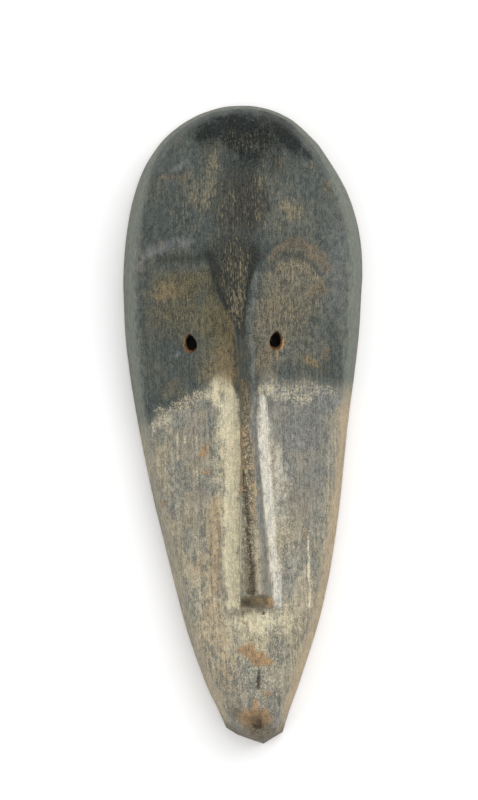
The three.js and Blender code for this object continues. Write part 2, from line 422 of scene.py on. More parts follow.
@dataclass(frozen=True)
class MaskForm:
    """The mask's shape: its outline, and the height of its face and of its hollow."""

    half_length: float = 100.0
    half_width: float = 37.5
    widest_at: float = 45.0
    crown_power: float = 2.15
    chin_right: tuple[float, float] = (8.5, -96.4)
    chin_point: tuple[float, float] = (2.4, -100.0)
    chin_knee: tuple[float, float] = (-5.6, -97.0)
    chin_left: tuple[float, float] = (-8.6, -94.6)
    # Where along X the knife's flats on the crown start and end.
    knife_cuts: tuple[tuple[float, ...], ...] = ((-29.4, -24.4, -18.3), (5.1, 8.9, 16.9, 24.8, 33.0))
    knife_depth: float = 0.4
    rim_width: float = 5.5
    rim_height: float = 3.0
    rim_rounding: float = 0.6
    side_slope: float = 5.0
    side_rounding: float = 3.6
    wall: float = 7.0
    hollow_slope: float = 4.0
    hollow_rounding: float = 9.0
    hollow_end: float = -88.0
    hollow_full: float = -79.0
    forehead_drop: float = 24.0
    nose_roof: float = 0.26
    nose_half: float = 7.0
    ridge_flat: float = 0.6
    forehead_power: float = 2.3
    flank_rounding: float = 0.3
    cheek_fall: float = 1.5
    cheek_fall_share: float = 0.44
    nose_end_run: float = 4.8
    far_run: float = 5.0
    # Where along Y the nose's roof begins and is whole, and the hollow begins to follow the forehead.
    nose_roof_start: tuple[float, float] = (34.0, 14.0)
    hollow_forehead: tuple[float, float] = (20.0, 60.0)
    side_steps: int = 600
    curve_steps: int = 24
    # Half of the width, the middle of the width, and the heights, all by Y.
    taper: Profile = Profile(
        ((-97, 8.3), (-90, 10.9), (-80, 15), (-60, 21.5), (-30, 28), (0, 32.8), (25, 36.3), (45, 37.5))
    )
    lean: Profile = Profile(
        ((-96, 0), (-80, -0.4), (-45, 0), (0, -1.1), (30, -0.6), (60, 0.3), (90, -0.7), (99, 0.3))
    )
    crest: Profile = Profile(
        ((-62, 33.4), (-52, 34.6), (-25, 36), (0, 37.2), (15, 38.2), (30, 40.2))
        + ((46, 42), (62, 41.2), (76, 37.4), (88, 30.6), (96, 23), (100, 17))
    )
    face: Profile = Profile(
        ((-100, 14), (-94, 19.4), (-86, 22.8), (-77, 24.2), (-56, 26))
        + ((-20, 28.8), (0, 30.8), (25, 34), (42, 37.4), (56, 39.6))
    )
    # The nose's ridge as X by Y.
    spine: Profile = Profile(((-50, 0.6), (-8, 0.4), (10, 0.1), (24, -1.1), (35, -1.4), (54, -0.4)))
    # The edge of the standing wood on each side, as X, Y and the width of its flank.
    brow_left: Places = (
        (-39.4, 33, 10), (-33.9, 43.5, 8), (-28.8, 50.7, 6), (-19.4, 55, 5), (-12.2, 50.5, 4),
        (-9, 41.3, 2.8), (-4.2, 30, 1.6), (-2.6, 18, 1.1), (-2.5, -7.3, 0.9),
        (-3.7, -38, 0.9), (-3.7, -56.4, 0.9),
    )
    brow_right: Places = (
        (6.6, -56.4, 2.6), (5.9, -38, 2.6), (3.8, -7.5, 2.6), (2.9, 8, 2.5), (0.8, 20, 1.8),
        (0.6, 29, 1.8), (2.6, 42, 2.8), (7.7, 50.6, 4), (18.4, 54.6, 5), (28.2, 50, 6),
        (33.2, 42.5, 8), (38.6, 32, 10),
    )
    # The two eye sockets, the mouth and the chin's knob.
    hills: tuple[Hill, ...] = (
        Hill(-16.4, 31, 10, 15, -1.3),
        Hill(14.6, 30, 11, 15, -1.3),
        Hill(0.8, -70.3, 7, 5, 0.8),
        Hill(0, -89, 5, 5, 1.5),
    )
    eyes: tuple[EyeHole, ...] = (EyeHole(-16.3, 25.6, 9, -1, 0.45), EyeHole(9.3, 25.7, -9, 1, 0.2))

    def half_at(self, y: Points, inset: float) -> Points:
        """Half of the mask's width, inset from its outline.

        Args:
            y: where it is measured.
            inset: how far in from the outline.

        Returns:
            One half width for each y.
        """
        top = self.half_length - inset - self.widest_at
        up = np.clip((y - self.widest_at) / top, 0, 1)
        round_part = (self.half_width - inset) * (1 - up**self.crown_power) ** (1 / self.crown_power)
        return np.where(y <= self.widest_at, self.taper(y) - inset, round_part)

    def side_line(self, side: int, low: float, inset: float, round_end: bool = False) -> Points:
        """One side of the mask, from y low up to the middle of the crown.

        Args:
            side: 1 for the right side, -1 for the left.
            low: the y that the line starts at.
            inset: how far in from the outline it runs.
            round_end: whether its lower end is rounded in to the middle, as the hollow's is.

        Returns:
            The line's points, one row each.
        """
        rise = (1 - np.cos(np.linspace(0, np.pi, self.side_steps + 1))) / 2
        y = low + (self.half_length - inset - low) * rise
        share = 1.0
        if round_end:
            down = np.clip((self.hollow_full - y) / (self.hollow_full - self.hollow_end), 0, 1)
            share = np.sqrt(1 - down**2)
        return np.stack([self.lean(y) + side * share * self.half_at(y, inset), y], axis=1)

    def crown_at(self, x: Points) -> Points:
        """How far up the crown's curve is.

        Args:
            x: where it is measured.

        Returns:
            One y for each x.
        """
        off = np.clip(np.abs(x - self.lean(np.array(90.0))) / self.half_width, 0, 1)
        reach = self.half_length - self.widest_at
        return self.widest_at + reach * (1 - off**self.crown_power) ** (1 / self.crown_power)

    def knife_cut(self, line: Points) -> Points:
        """Cuts the flats that a knife left on the crown.

        Args:
            line: the outline's points, one row each.

        Returns:
            The cut line.
        """
        cut = line.copy()
        x, y = line.T
        for cuts in self.knife_cuts:
            flat = np.interp(x, cuts, self.crown_at(np.array(cuts)))
            inside = (x > cuts[0]) & (x < cuts[-1]) & (y > self.widest_at)
            cut[:, 1] -= inside * self.knife_depth * np.maximum(0, self.crown_at(x) - flat)
        return cut

    def outline(self, step: float) -> Points:
        """The outline, anticlockwise from the right corner of the chin.

        Args:
            step: about how far apart its points are.

        Returns:
            Its points, one row each.
        """
        right = self.side_line(1, self.chin_right[1], 0)
        left = self.side_line(-1, self.chin_left[1], 0)[::-1]
        round_part = spaced(self.knife_cut(np.concatenate([right, left])), step)
        chin = [round_part[-1], np.array(self.chin_knee), np.array(self.chin_point), round_part[0]]
        bevels = [spaced(np.array([a, b]), step)[1:] for a, b in zip(chin, chin[1:])]
        return np.concatenate([round_part, *bevels])[:-1]

    def hollow_edge(self, step: float) -> Points:
        """The edge of the hollow on the back, round at the chin.

        Args:
            step: about how far apart its points are.

        Returns:
            Its points, one row each.
        """
        right = self.side_line(1, self.hollow_end, self.rim_width, True)
        left = self.side_line(-1, self.hollow_end, self.rim_width, True)[::-1]
        return spaced(np.concatenate([right, left]), step)[:-1]

    def standing_edge(self, step: float) -> Loop:
        """The edge of the standing wood, which is forehead and nose, closed far above the crown.

        Args:
            step: about how far apart its points are.

        Returns:
            The edge, with the width of its flank on each side.
        """
        sides = (np.array(side) for side in (self.brow_left, self.brow_right))
        left, right = (self._traced(side, step) for side in sides)
        under = spaced(np.array([left[-1], right[0]]), step)
        under[:, 2] = self.nose_end_run
        far = 2 * self.half_length
        above = np.array([right[-1], (far, far, self.far_run), (-far, far, self.far_run), left[0]])
        chains = (left, under, right, above)
        start = np.concatenate([chain[:-1] for chain in chains])
        end = np.concatenate([chain[1:] for chain in chains])
        return Loop(start[:, :2], end[:, :2], start[:, 2], end[:, 2])

    def _traced(self, points: Points, step: float) -> Points:
        """A smooth line through points, evenly spaced.

        Args:
            points: the points, each with the width of the flank there.
            step: about how far apart the new points are.

        Returns:
            The new points, one row each.
        """
        padded = np.concatenate([[2 * points[0] - points[1]], points, [2 * points[-1] - points[-2]]])
        t = np.linspace(0, 1, self.curve_steps + 1)[:-1, None]
        pieces = []
        for a, b, c, d in zip(padded, padded[1:], padded[2:], padded[3:]):
            bend = (2 * a - 5 * b + 4 * c - d) * t**2 + (3 * b - a - 3 * c + d) * t**3
            pieces.append(b + 0.5 * ((c - a) * t + bend))
        return spaced(np.concatenate([*pieces, points[-1:]]), step)

    def standing_share(self, at: Points, edge: Loop) -> Points:
        """How far up its flank the standing wood is, 0 on the cut face and 1 on the standing wood.

        Args:
            at: the points, one row each.
            edge: the edge of the standing wood.

        Returns:
            One share for each point.
        """
        share = np.where(edge.holds(at), edge.shares(at), 0)
        rounded = soft_min(np.minimum(share, 1), np.ones(len(at)), self.flank_rounding)
        return np.where(share > 0, rounded, 0)

    def standing_top(self, at: Points) -> Points:
        """Height of the forehead and of the top of the nose.

        Args:
            at: the points, one row each.

        Returns:
            One height for each point.
        """
        x, y = at.T
        off_ridge = np.hypot(x - self.spine(y), self.ridge_flat) - self.ridge_flat
        off_ridge = np.minimum(off_ridge, self.nose_half)
        fall = self.forehead_drop * (np.abs(x) / self.half_width) ** self.forehead_power
        return self.crest(y) - fall - self.nose_roof * smooth(*self.nose_roof_start, y) * off_ridge

    def cut_face(self, at: Points) -> Points:
        """Height of the cheeks, the eye sockets and the chin.

        Args:
            at: the points, one row each.

        Returns:
            One height for each point.
        """
        x, y = at.T
        half = self.taper(y)
        fall = self.cheek_fall + self.cheek_fall_share * half
        z = self.face(y) - fall * np.minimum(1, np.abs(x) / half) ** 2
        return z + sum(hill.height(at) for hill in self.hills)


@dataclass
class PointCloud:
    """Points for a mesh, none too near to an earlier one."""

    cell: float
    points: list[tuple[float, float]] = field(default_factory=list)
    cells: dict[tuple[int, int], list[int]] = field(default_factory=dict)

    def add(self, more: Points, apart: float) -> None:
        """Adds the points that keep their distance.

        Args:
            more: the points, one row each.
            apart: the distance, at most one cell.
        """
        for x, y in more.tolist():
            i, j = int(x // self.cell), int(y // self.cell)
            near = (
                k
                for a in (i - 1, i, i + 1)
                for b in (j - 1, j, j + 1)
                for k in self.cells.get((a, b), ())
            )
            if any(math.hypot(self.points[k][0] - x, self.points[k][1] - y) < apart for k in near):
                continue
            self.cells.setdefault((i, j), []).append(len(self.points))
            self.points.append((x, y))


def lattice(step: float, half_x: float, half_y: float) -> Points:
    """Points in even rows, each row shifted by half a step.

    Args:
        step: how far apart they are.
        half_x: how far the rows reach to each side.
        half_y: how far the rows reach up and down.

    Returns:
        The points, one row each.
    """
    rows = np.arange(-half_y, half_y, step * math.sqrt(3) / 2)
    across = np.arange(-half_x, half_x, step)
    x = across[None, :] + (np.arange(len(rows)) % 2)[:, None] * step / 2
    y = np.broadcast_to(rows[:, None], x.shape)
    return np.stack([x.ravel(), y.ravel()], axis=1)


@dataclass
class Wood:
    """The mask's mesh while it is being made: corners, faces, and what each corner is part of."""

    corners: list[Points] = field(default_factory=list)
    faces: list[Points] = field(default_factory=list)
    kinds: list[Points] = field(default_factory=list)
    count: int = 0

    def add(self, corners: Points, kind: float) -> Points:
        """Adds corners of one kind.

        Args:
            corners: the corners, one row each.
            kind: what they are part of.

        Returns:
            Their numbers.
        """
        first = self.count
        self.corners.append(corners)
        self.kinds.append(np.full(len(corners), kind))
        self.count += len(corners)
        return np.arange(first, self.count)

    def band(self, low: Points, high: Points) -> None:
        """Joins two rings with faces that point outwards.

        Args:
            low: the lower ring's corner numbers, anticlockwise seen from above.
            high: the upper ring's, as many and the same way round.
        """
        after_low, after_high = np.roll(low, -1), np.roll(high, -1)
        self.faces.append(np.stack([low, after_low, after_high], axis=1))
        self.faces.append(np.stack([low, after_high, high], axis=1))


# The lower edge of the upper face's soot, as Y by X. It dips on the nose.
PAINT_LINE = Profile(
    ((-37, 1), (-30, 1.6), (-27, 3.6), (-23, 5), (-19, 7.4), (-15.5, 9.6), (-12, 12.4), (-8.5, 15.8))
    + ((-5, 14.8), (-2.6, 9), (0.5, 6), (3.2, 11), (5.5, 15), (8, 15.6), (11, 13.2))
    + ((16, 13), (20, 13), (25, 11.4), (37, 12))
)


@dataclass
class CarvedMask:
    """The mask itself, as one closed mesh with its hollow and eye holes."""

    form: MaskForm = MaskForm()
    fine: float = 0.6
    wall_row: float = 0.32
    wall_end: float = 5.4
    hollow_step: float = 1.05
    marks: dict[Layer, tuple[Patch | Stroke, ...]] = field(default_factory=dict)
    outline_loop: Loop = field(init=False)
    hollow_loop: Loop = field(init=False)
    standing: Loop = field(init=False)

    FRONT = 0.0
    BACK = 1.0
    EYE = 2.0
    # The side band: from no colour to full colour in from the outline, and up from the chin.
    BAND = (7.4, 2.2)
    CHIN = (-96, -86)
    # Where along Y it gets narrower, and by how much.
    CROWN = (68, 98)
    CROWN_BAND = 1.9
    CHEEK = (24, 4)
    CHEEK_BAND = 0.55
    # Where along Y it turns warm on either side, and how much of that the left side gets.
    WARM_RIGHT = (20, 0)
    WARM_LEFT = (-60, -80)
    LEFT_WARMTH = 0.5
    # Up the standing wood's flank, from marks of the cut face to marks of the standing wood.
    MARKED_FLANK = (0.02, 0.35)
    # The heights between which the knife work starts, in the hollow and outside.
    SCOOPED = (0.2, 2.5)
    SHAVED = (1.5, 4)
    # Points nearer than this are one, and slivers, of which this is twice the area, are left out.
    SAME_PLACE = 1e-7
    SLIVER = 0.0001
    # Rows of points: by the width of the standing wood's flank, in from an outline, or upwards.
    FLANK_ROWS = (0, 1, 0.5, 0.25, 0.75, -0.3, 1.3)
    RIM_ROWS = (0.12, 0.35, 0.7)
    HOLLOW_ROWS = (0, -0.3, -0.7, 0.25, 0.6, *np.arange(1, 7, 0.5))
    STRIP_ROWS = (1.2, 2.1)
    # How near a point may be to an earlier one. For the even rows it is a share of their step.
    FLANK_APART = 0.2
    WALL_APART = 0.24
    RIM_APART = 0.1
    HOLLOW_APART = 0.22
    REST_APART = 0.6
    # How far from the outline the flank's rows and the even rows keep, and from the hollow's edge.
    FLANK_CLEAR = 4.5
    FRONT_CLEAR = 5.2
    BACK_CLEAR = 1.3
    HOLLOW_CLEAR = 1.0
    # How far off its line a row's point may be.
    OFF_LINE = 0.02
    # The eye holes at the front and at the back, larger than the leaf by this on every side.
    FRONT_SPREAD = 0.15
    BACK_SPREAD = 0.5
    # Rings down an eye hole: depth as a share, spread, share of the worn shift, and move along Y.
    EYE_ROWS = (
        (0.04, -0.05, 0.7, 0),
        (0.10, -0.2, 0.35, 0.05),
        (0.2, -0.32, 0.1, 0.15),
        (0.45, -0.3, 0, 0.5),
        (0.7, -0.1, 0, 1.0),
        (0.9, 0.2, 0, 0.8),
    )

    def __post_init__(self) -> None:
        """Draws the three loops that the surfaces are measured from."""
        self.outline_loop = Loop.through(self.form.outline(self.fine))
        self.hollow_loop = Loop.through(self.form.hollow_edge(self.fine))
        self.standing = self.form.standing_edge(self.fine)

    def _levels(self, at: Points) -> tuple[Points, Points]:
        """Height of the cut face, which is never above the standing wood, and of the standing wood."""
        high = self.form.standing_top(at)
        return np.minimum(self.form.cut_face(at), high), high

    def outside(self, at: Points) -> Points:
        """Height of the outside of the mask.

        Args:
            at: the points, one row each.

        Returns:
            One height for each point.
        """
        form = self.form
        low, high = self._levels(at)
        body = low + (high - low) * form.standing_share(at, self.standing)
        wall = form.rim_height + form.side_slope * np.maximum(0, self.outline_loop.inset(at))
        return soft_min(body, wall, form.side_rounding)

    def underside(self, at: Points) -> Points:
        """Height of the back: the flat rim with its worn edges, and the hollow.

        Args:
            at: the points, one row each.

        Returns:
            One height for each point.
        """
        form = self.form
        low, high = self._levels(at)
        roof = low + (high - low) * smooth(*form.hollow_forehead, at[:, 1]) - form.wall
        inset = self.hollow_loop.inset(at)
        hollow = np.maximum(0, soft_min(roof, form.hollow_slope * inset, form.hollow_rounding))
        r = form.rim_rounding
        edge = np.clip(r - np.maximum(0, self.outline_loop.inset(at)), 0, r)
        lip = 0.5 * np.clip(1 + inset / r, 0, 1) ** 2 * r
        return np.where(inset > 0, hollow + lip, r - np.sqrt(r * r - edge * edge) + lip)

    def _edge_numbers(self, rings: list[Points]) -> list[Points]:
        """The numbers of the outline's points and of each ring's, with which a cloud starts.

        Args:
            rings: the rings of the eye holes.

        Returns:
            The numbers, edge by edge.
        """
        sizes = [len(self.outline_loop.start), *(len(ring) for ring in rings)]
        ends = np.cumsum(sizes)
        return [np.arange(end - size, end) for size, end in zip(sizes, ends)]

    def _flat_mesh(self, cloud: PointCloud, eye_rings: list[Points]) -> tuple[Points, Points]:
        """Joins the cloud's points, which start with the outline and the eye rings, into triangles.

        Args:
            cloud: the points, seen from above.
            eye_rings: the rings of the eye holes, which are left open.

        Returns:
            The points, and the triangles as rows of three numbers.
        """
        edges = []
        for ring in self._edge_numbers(eye_rings):
            edges += zip(ring.tolist(), np.roll(ring, -1).tolist())
        places = [Vector(point) for point in cloud.points]
        cut = delaunay_2d_cdt(places, edges, [], 0, self.SAME_PLACE, True)
        found, _, faces, origin = cut[:4]
        if len(found) != len(places):
            log.warning("the flat mesh has %d points and was given %d", len(found), len(places))
        name = np.array([number[0] for number in origin])
        triangles = name[np.array(faces)]
        points = np.array(cloud.points)
        middle = points[triangles].mean(axis=1)
        a, b, c = (points[triangles[:, k]] for k in range(3))
        turn = (b[:, 0] - a[:, 0]) * (c[:, 1] - a[:, 1]) - (b[:, 1] - a[:, 1]) * (c[:, 0] - a[:, 0])
        keep = self.outline_loop.holds(middle) & (np.abs(turn) > self.SLIVER)
        for ring in eye_rings:
            keep &= ~Loop.through(ring).holds(middle)
        triangles[turn < 0] = triangles[turn < 0][:, ::-1]
        return points, triangles[keep]

    def _started(self, cell: float, eye_rings: list[Points]) -> PointCloud:
        """Starts a cloud with the outline and the eye rings.

        Args:
            cell: the cloud's cell.
            eye_rings: the rings of the eye holes.

        Returns:
            The cloud.
        """
        cloud = PointCloud(cell)
        cloud.add(self.outline_loop.start, 0)
        for ring in eye_rings:
            cloud.add(ring, 0)
        return cloud

    def _follow_outline(self, cloud: PointCloud, insets: Iterable[float], apart: float) -> None:
        """Adds rows of points that run along the outline.

        Args:
            cloud: where the points go.
            insets: how far in from the outline each row is.
            apart: how near they may be to earlier points.
        """
        for inset in insets:
            row = self.outline_loop.moved(inset)
            cloud.add(row[self.outline_loop.inset(row) > inset - self.OFF_LINE], apart)

    def _front_cloud(self, eye_rings: list[Points]) -> PointCloud:
        """Points for the front: along the standing wood's edge, up the side wall, and over the rest.

        Args:
            eye_rings: the rings of the eye holes on the front.

        Returns:
            The points.
        """
        cloud = self._started(self.fine, eye_rings)
        for share in self.FLANK_ROWS:
            row = self.standing.moved(share * self.standing.run_start)
            cloud.add(row[self.outline_loop.inset(row) > self.FLANK_CLEAR], self.FLANK_APART)
        self._follow_outline(cloud, np.arange(self.wall_row, self.wall_end, self.wall_row), self.WALL_APART)
        rest = lattice(self.fine, self.form.half_width + 1, self.form.half_length)
        clear = self.outline_loop.inset(rest) > self.FRONT_CLEAR
        cloud.add(rest[clear], self.fine * self.REST_APART)
        return cloud

    def _back_cloud(self, eye_rings: list[Points]) -> PointCloud:
        """Points for the back: the rim and its edges, up the hollow's wall, and over the rest.

        Args:
            eye_rings: the rings of the eye holes on the back.

        Returns:
            The points.
        """
        cloud = self._started(self.hollow_step, eye_rings)
        self._follow_outline(cloud, self.RIM_ROWS, self.RIM_APART)
        for inset in self.HOLLOW_ROWS:
            row = self.hollow_loop.moved(inset)
            on_line = np.abs(self.hollow_loop.inset(row) - inset) < self.OFF_LINE
            cloud.add(row[on_line], self.HOLLOW_APART)
        rest = lattice(self.hollow_step, self.form.half_width + 1, self.form.half_length)
        clear = self.outline_loop.inset(rest) > self.BACK_CLEAR
        clear &= np.abs(self.hollow_loop.inset(rest)) > self.HOLLOW_CLEAR
        cloud.add(rest[clear], self.hollow_step * self.REST_APART)
        return cloud

    def _surface(self, wood: Wood, cloud: PointCloud, rings: list[Points], back: bool) -> list[Points]:
        """Adds the front or the back to the wood.

        Args:
            wood: the mesh that is being made.
            cloud: the surface's points, seen from above.
            rings: the eye holes' rings on this surface.
            back: whether it is the back.

        Returns:
            The corner numbers of the outline, and then of each eye's ring.
        """
        points, triangles = self._flat_mesh(cloud, rings)
        height = self.underside(points) if back else self.outside(points)
        corners = np.column_stack([points, height])
        numbers = wood.add(corners, self.BACK if back else self.FRONT)
        wood.faces.append(numbers[triangles[:, ::-1] if back else triangles])
        return [numbers[ring] for ring in self._edge_numbers(rings)]

    def make_mesh(self) -> bpy.types.Mesh:
        """Makes the closed mesh, in metres and inside the solid's box, with its layers as attributes.

        Returns:
            The new mesh.
        """
        wood = Wood()
        front_rings = [eye.ring(self.FRONT_SPREAD, eye.worn) for eye in self.form.eyes]
        back_rings = [eye.ring(self.BACK_SPREAD, 0) for eye in self.form.eyes]
        front = self._surface(wood, self._front_cloud(front_rings), front_rings, back=False)
        back = self._surface(wood, self._back_cloud(back_rings), back_rings, back=True)
        self._rim_strip(wood, back[0], front[0])
        for eye, low, high in zip(self.form.eyes, back[1:], front[1:]):
            self._eye_wall(wood, eye, low, high)
        corners = np.concatenate(wood.corners)
        kinds = np.concatenate(wood.kinds)
        faces = np.concatenate(wood.faces)
        mesh = bpy.data.meshes.new("mask_carving")
        mesh.vertices.add(len(corners))
        mesh.vertices.foreach_set("co", self._placed(corners).ravel())
        mesh.loops.add(faces.size)
        mesh.polygons.add(len(faces))
        mesh.loops.foreach_set("vertex_index", faces.ravel())
        mesh.polygons.foreach_set("loop_start", np.arange(0, faces.size, 3))
        mesh.polygons.foreach_set("use_smooth", np.ones(len(faces), dtype=bool))
        mesh.update(calc_edges=True)
        mesh.validate()
        for name, values in self._attributes(corners, kinds).items():
            layer = mesh.attributes.new(name, "FLOAT", "POINT")
            layer.data.foreach_set("value", values.astype(np.float32))
        return mesh

    def _rim_strip(self, wood: Wood, low: Points, high: Points) -> None:
        """Adds the upright strip of the rim, between the back's outline and the front's.

        Args:
            wood: the mesh that is being made.
            low: the corner numbers of the back's edge.
            high: those of the front's edge.
        """
        outline = self.outline_loop.start
        below = low
        for height in self.STRIP_ROWS:
            level = np.column_stack([outline, np.full(len(outline), height)])
            ring = wood.add(level, self.FRONT)
            wood.band(below, ring)
            below = ring
        wood.band(below, high)

    def _eye_wall(self, wood: Wood, eye: EyeHole, low: Points, high: Points) -> None:
        """Adds the inside of an eye hole: worn edges at the front, a neck, and a wider end behind.

        Args:
            wood: the mesh that is being made.
            eye: the hole.
            low: the corner numbers of the back's edge.
            high: those of the front's edge.
        """
        corners = np.concatenate(wood.corners)
        top, bottom = corners[high][:, 2], corners[low][:, 2]
        above = high
        for depth, spread, shift, lift in self.EYE_ROWS:
            ring = eye.ring(spread, shift * eye.worn) + np.array([0, lift])
            level = wood.add(np.column_stack([ring, top - (top - bottom) * depth]), self.EYE)
            wood.band(above, level)
            above = level
        wood.band(above, low)

    def _placed(self, corners: Points) -> Points:
        """The corners in metres, scaled by a hair so that they fill the solid's box.

        Args:
            corners: the corners, one row each.

        Returns:
            The moved corners.
        """
        low, high = (np.array(corner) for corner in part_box("mask"))
        own_low, own_high = corners.min(axis=0), corners.max(axis=0)
        scale = (high - low) / (own_high - own_low)
        return low + (corners - own_low) * scale

    def _attributes(self, corners: Points, kinds: Points) -> dict[str, Points]:
        """What each corner is part of, and how much of each layer lies on it.

        Args:
            corners: the mesh's corners.
            kinds: the kind of each corner.

        Returns:
            One array for each attribute's name.
        """
        at = corners[:, :2]
        y, z = corners[:, 1:].T
        front = kinds == self.FRONT
        inset = np.maximum(0, self.outline_loop.inset(at))
        narrower = 1 + self.CROWN_BAND * smooth(*self.CROWN, y) + self.CHEEK_BAND * smooth(*self.CHEEK, y)
        right = smooth(*self.WARM_RIGHT, y)
        left = self.LEFT_WARMTH * smooth(*self.WARM_LEFT, y)
        share = np.where(self.standing.holds(at), np.minimum(self.standing.shares(at), 1), 0)
        standing = smooth(*self.MARKED_FLANK, share)
        grounds = {Ground.ALL: np.ones(len(at)), Ground.CUT: 1 - standing, Ground.STANDING: standing}
        found = {
            "hollow": np.where(kinds == self.BACK, 1.0, 0.0),
            "eye": np.where(kinds == self.EYE, 1.0, 0.0),
            # The side band, which the finish paints lighter, partly as a painted rim light.
            "side": front * smooth(*self.BAND, inset * narrower) * smooth(*self.CHIN, y),
            "above": y - PAINT_LINE(at[:, 0]),
            "warm": np.where(at[:, 0] > 0, right, left),
            "cut": np.where(kinds == self.BACK, smooth(*self.SCOOPED, z), 0),
            "shave": front * smooth(*self.SHAVED, z),
        }
        drift = wandered(at)
        for layer in Layer:
            cover = np.zeros(len(at))
            for mark in self.marks.get(layer, ()):
                amount = mark.share(at + (drift - at) * mark.ragged) * grounds[mark.ground]
                cover = np.maximum(cover, amount)
            found[layer.value] = cover
        return found


class Wire:
    """A shader or geometry socket that takes part in sums."""

    def __init__(self, book: "NodeBook", socket: bpy.types.NodeSocket) -> None:
        """Keeps the socket and the book that its nodes go into."""
        self.book = book
        self.socket = socket

    def _sum(self, operation: str, *values: Any) -> "Wire":
        """Adds one Math node on this wire and others."""
        return self.book.node("ShaderNodeMath", {"operation": operation}, values)

    def __add__(self, other: Any) -> "Wire":
        """Self plus other."""
        return self._sum("ADD", self, other)

    __radd__ = __add__

    def __sub__(self, other: Any) -> "Wire":
        """Self minus other."""
        return self._sum("SUBTRACT", self, other)

    def __rsub__(self, other: Any) -> "Wire":
        """Other minus self."""
        return self._sum("SUBTRACT", other, self)

    def __mul__(self, other: Any) -> "Wire":
        """Self times other."""
        return self._sum("MULTIPLY", self, other)

    __rmul__ = __mul__

    def clamped(self) -> "Wire":
        """Self, held between 0 and 1."""
        return self.book.node("ShaderNodeClamp", {}, {"Value": self})

    def ramp(self, low: float, high: float) -> "Wire":
        """A smooth ramp from 0 where this is low to 1 where it is high."""
        settings = {"interpolation_type": "SMOOTHSTEP"}
        return self.book.node("ShaderNodeMapRange", settings, {0: self, 1: low, 2: high, 3: 0.0, 4: 1.0})


class NodeBook:
    """Writes nodes into one node tree."""

    def __init__(self, tree: bpy.types.NodeTree) -> None:
        """Starts on an empty tree."""
        self.tree = tree
        tree.nodes.clear()

    def add(self, kind: str, settings: dict[str, Any], inputs: Any = ()) -> bpy.types.Node:
        """Adds one node.

        Args:
            kind: the node's type.
            settings: what is set on it before its sockets, such as its operation.
            inputs: its sockets' values or wires, in order or by name or number.

        Returns:
            The node.
        """
        node = self.tree.nodes.new(kind)
        for name, value in settings.items():
            setattr(node, name, value)
        pairs: Iterable = inputs.items() if isinstance(inputs, dict) else enumerate(inputs)
        for key, value in pairs:
            socket = node.inputs[key]
            if isinstance(value, Wire):
                self.tree.links.new(value.socket, socket)
            else:
                socket.default_value = value
        return node

    def node(self, kind: str, settings: dict[str, Any], inputs: Any = (), out: Any = 0) -> Wire:
        """Adds one node and returns the wire from one of its outputs."""
        return Wire(self, self.add(kind, settings, inputs).outputs[out])

    def attribute(self, name: str) -> Wire:
        """A number that the mesh carries."""
        return self.node("ShaderNodeAttribute", {"attribute_name": name}, (), "Fac")

    def mix(self, low: Any, high: Any, share: Any) -> Wire:
        """A colour between two, by a share from 0 to 1."""
        settings = {"data_type": "RGBA", "clamp_factor": True}
        return self.node("ShaderNodeMix", settings, {0: share, 6: low, 7: high}, 2)

    def stretched(self, across: float, along: float, through: float) -> Wire:
        """Object coordinates in which one unit is the given millimetres along X, Y and Z.

        Args:
            across: the millimetres along X.
            along: the millimetres along Y.
            through: the millimetres along Z.

        Returns:
            The coordinates.
        """
        place = self.node("ShaderNodeTexCoord", {}, (), "Object")
        size = (1 / (across * MM), 1 / (along * MM), 1 / (through * MM))
        return self.node("ShaderNodeVectorMath", {"operation": "MULTIPLY"}, {0: place, 1: size})

    def noise(self, place: Wire, detail: float = 2.0, rough: float = 0.5, bend: float = 0.0) -> Wire:
        """Soft noise, about 0 to 1, over a place."""
        values = {"Vector": place, "Scale": 1.0, "Detail": detail, "Roughness": rough}
        return self.node("ShaderNodeTexNoise", {}, {**values, "Distortion": bend}, "Fac")


@dataclass(frozen=True)
class Grain:
    """The wood's own lines, which run from chin to crown, and the grit on them, all from 0 to 1."""

    grit: Wire
    pore: Wire
    streak: Wire
    mottle: Wire
    cloud: Wire
    tone: Wire
    blotch: Wire
    flaked: Wire
    brush: Wire
    dot: Wire
    dash: Wire
    warmth: Wire

    @classmethod
    def read(cls, book: NodeBook) -> "Grain":
        """Lays the noises that every finish shares.

        Args:
            book: where the nodes go.

        Returns:
            The noises and their mixtures.
        """
        near, far = (0.36, 0.64), (0.34, 0.66)
        grit = book.noise(book.stretched(0.27, 0.34, 0.3), 2, 0.7).ramp(*near)
        pore = book.noise(book.stretched(0.26, 1.5, 0.8), 2, 0.6).ramp(*near)
        streak = book.noise(book.stretched(0.9, 18, 4), 4, 0.66, 0.2).ramp(*far)
        mottle = book.noise(book.stretched(1.7, 2.3, 2.2), 4, 0.7, 0.4).ramp(*far)
        cloud = book.noise(book.stretched(9, 14, 12), 3, 0.55).ramp(*near)
        line = book.noise(book.stretched(0.42, 9, 3), 2, 0.5).ramp(*near)
        dot = book.noise(book.stretched(0.5, 0.6, 0.55), 3, 0.65, 0.2).ramp(*far)
        hue = book.noise(book.stretched(0.5, 0.9, 0.7), 2, 0.6).ramp(*near)
        tone = grit * 0.5 + pore * 0.3 + line * 0.1 + streak * 0.15 + mottle * 0.25
        return cls(
            grit=grit,
            pore=pore,
            streak=streak,
            mottle=mottle,
            cloud=cloud,
            tone=tone.ramp(0.25, 1.05),
            blotch=mottle * 0.4 + grit * 0.25 + dot * 0.35,
            flaked=mottle * 0.35 + dot * 0.3 + streak * 0.35,
            brush=streak * 0.35 + pore * 0.4 + line * 0.25,
            dot=dot * 0.75 + mottle * 0.25,
            dash=pore * 0.5 + line * 0.3 + cloud * 0.2,
            warmth=hue * 0.6 + mottle * 0.2 + cloud * 0.2,
        )


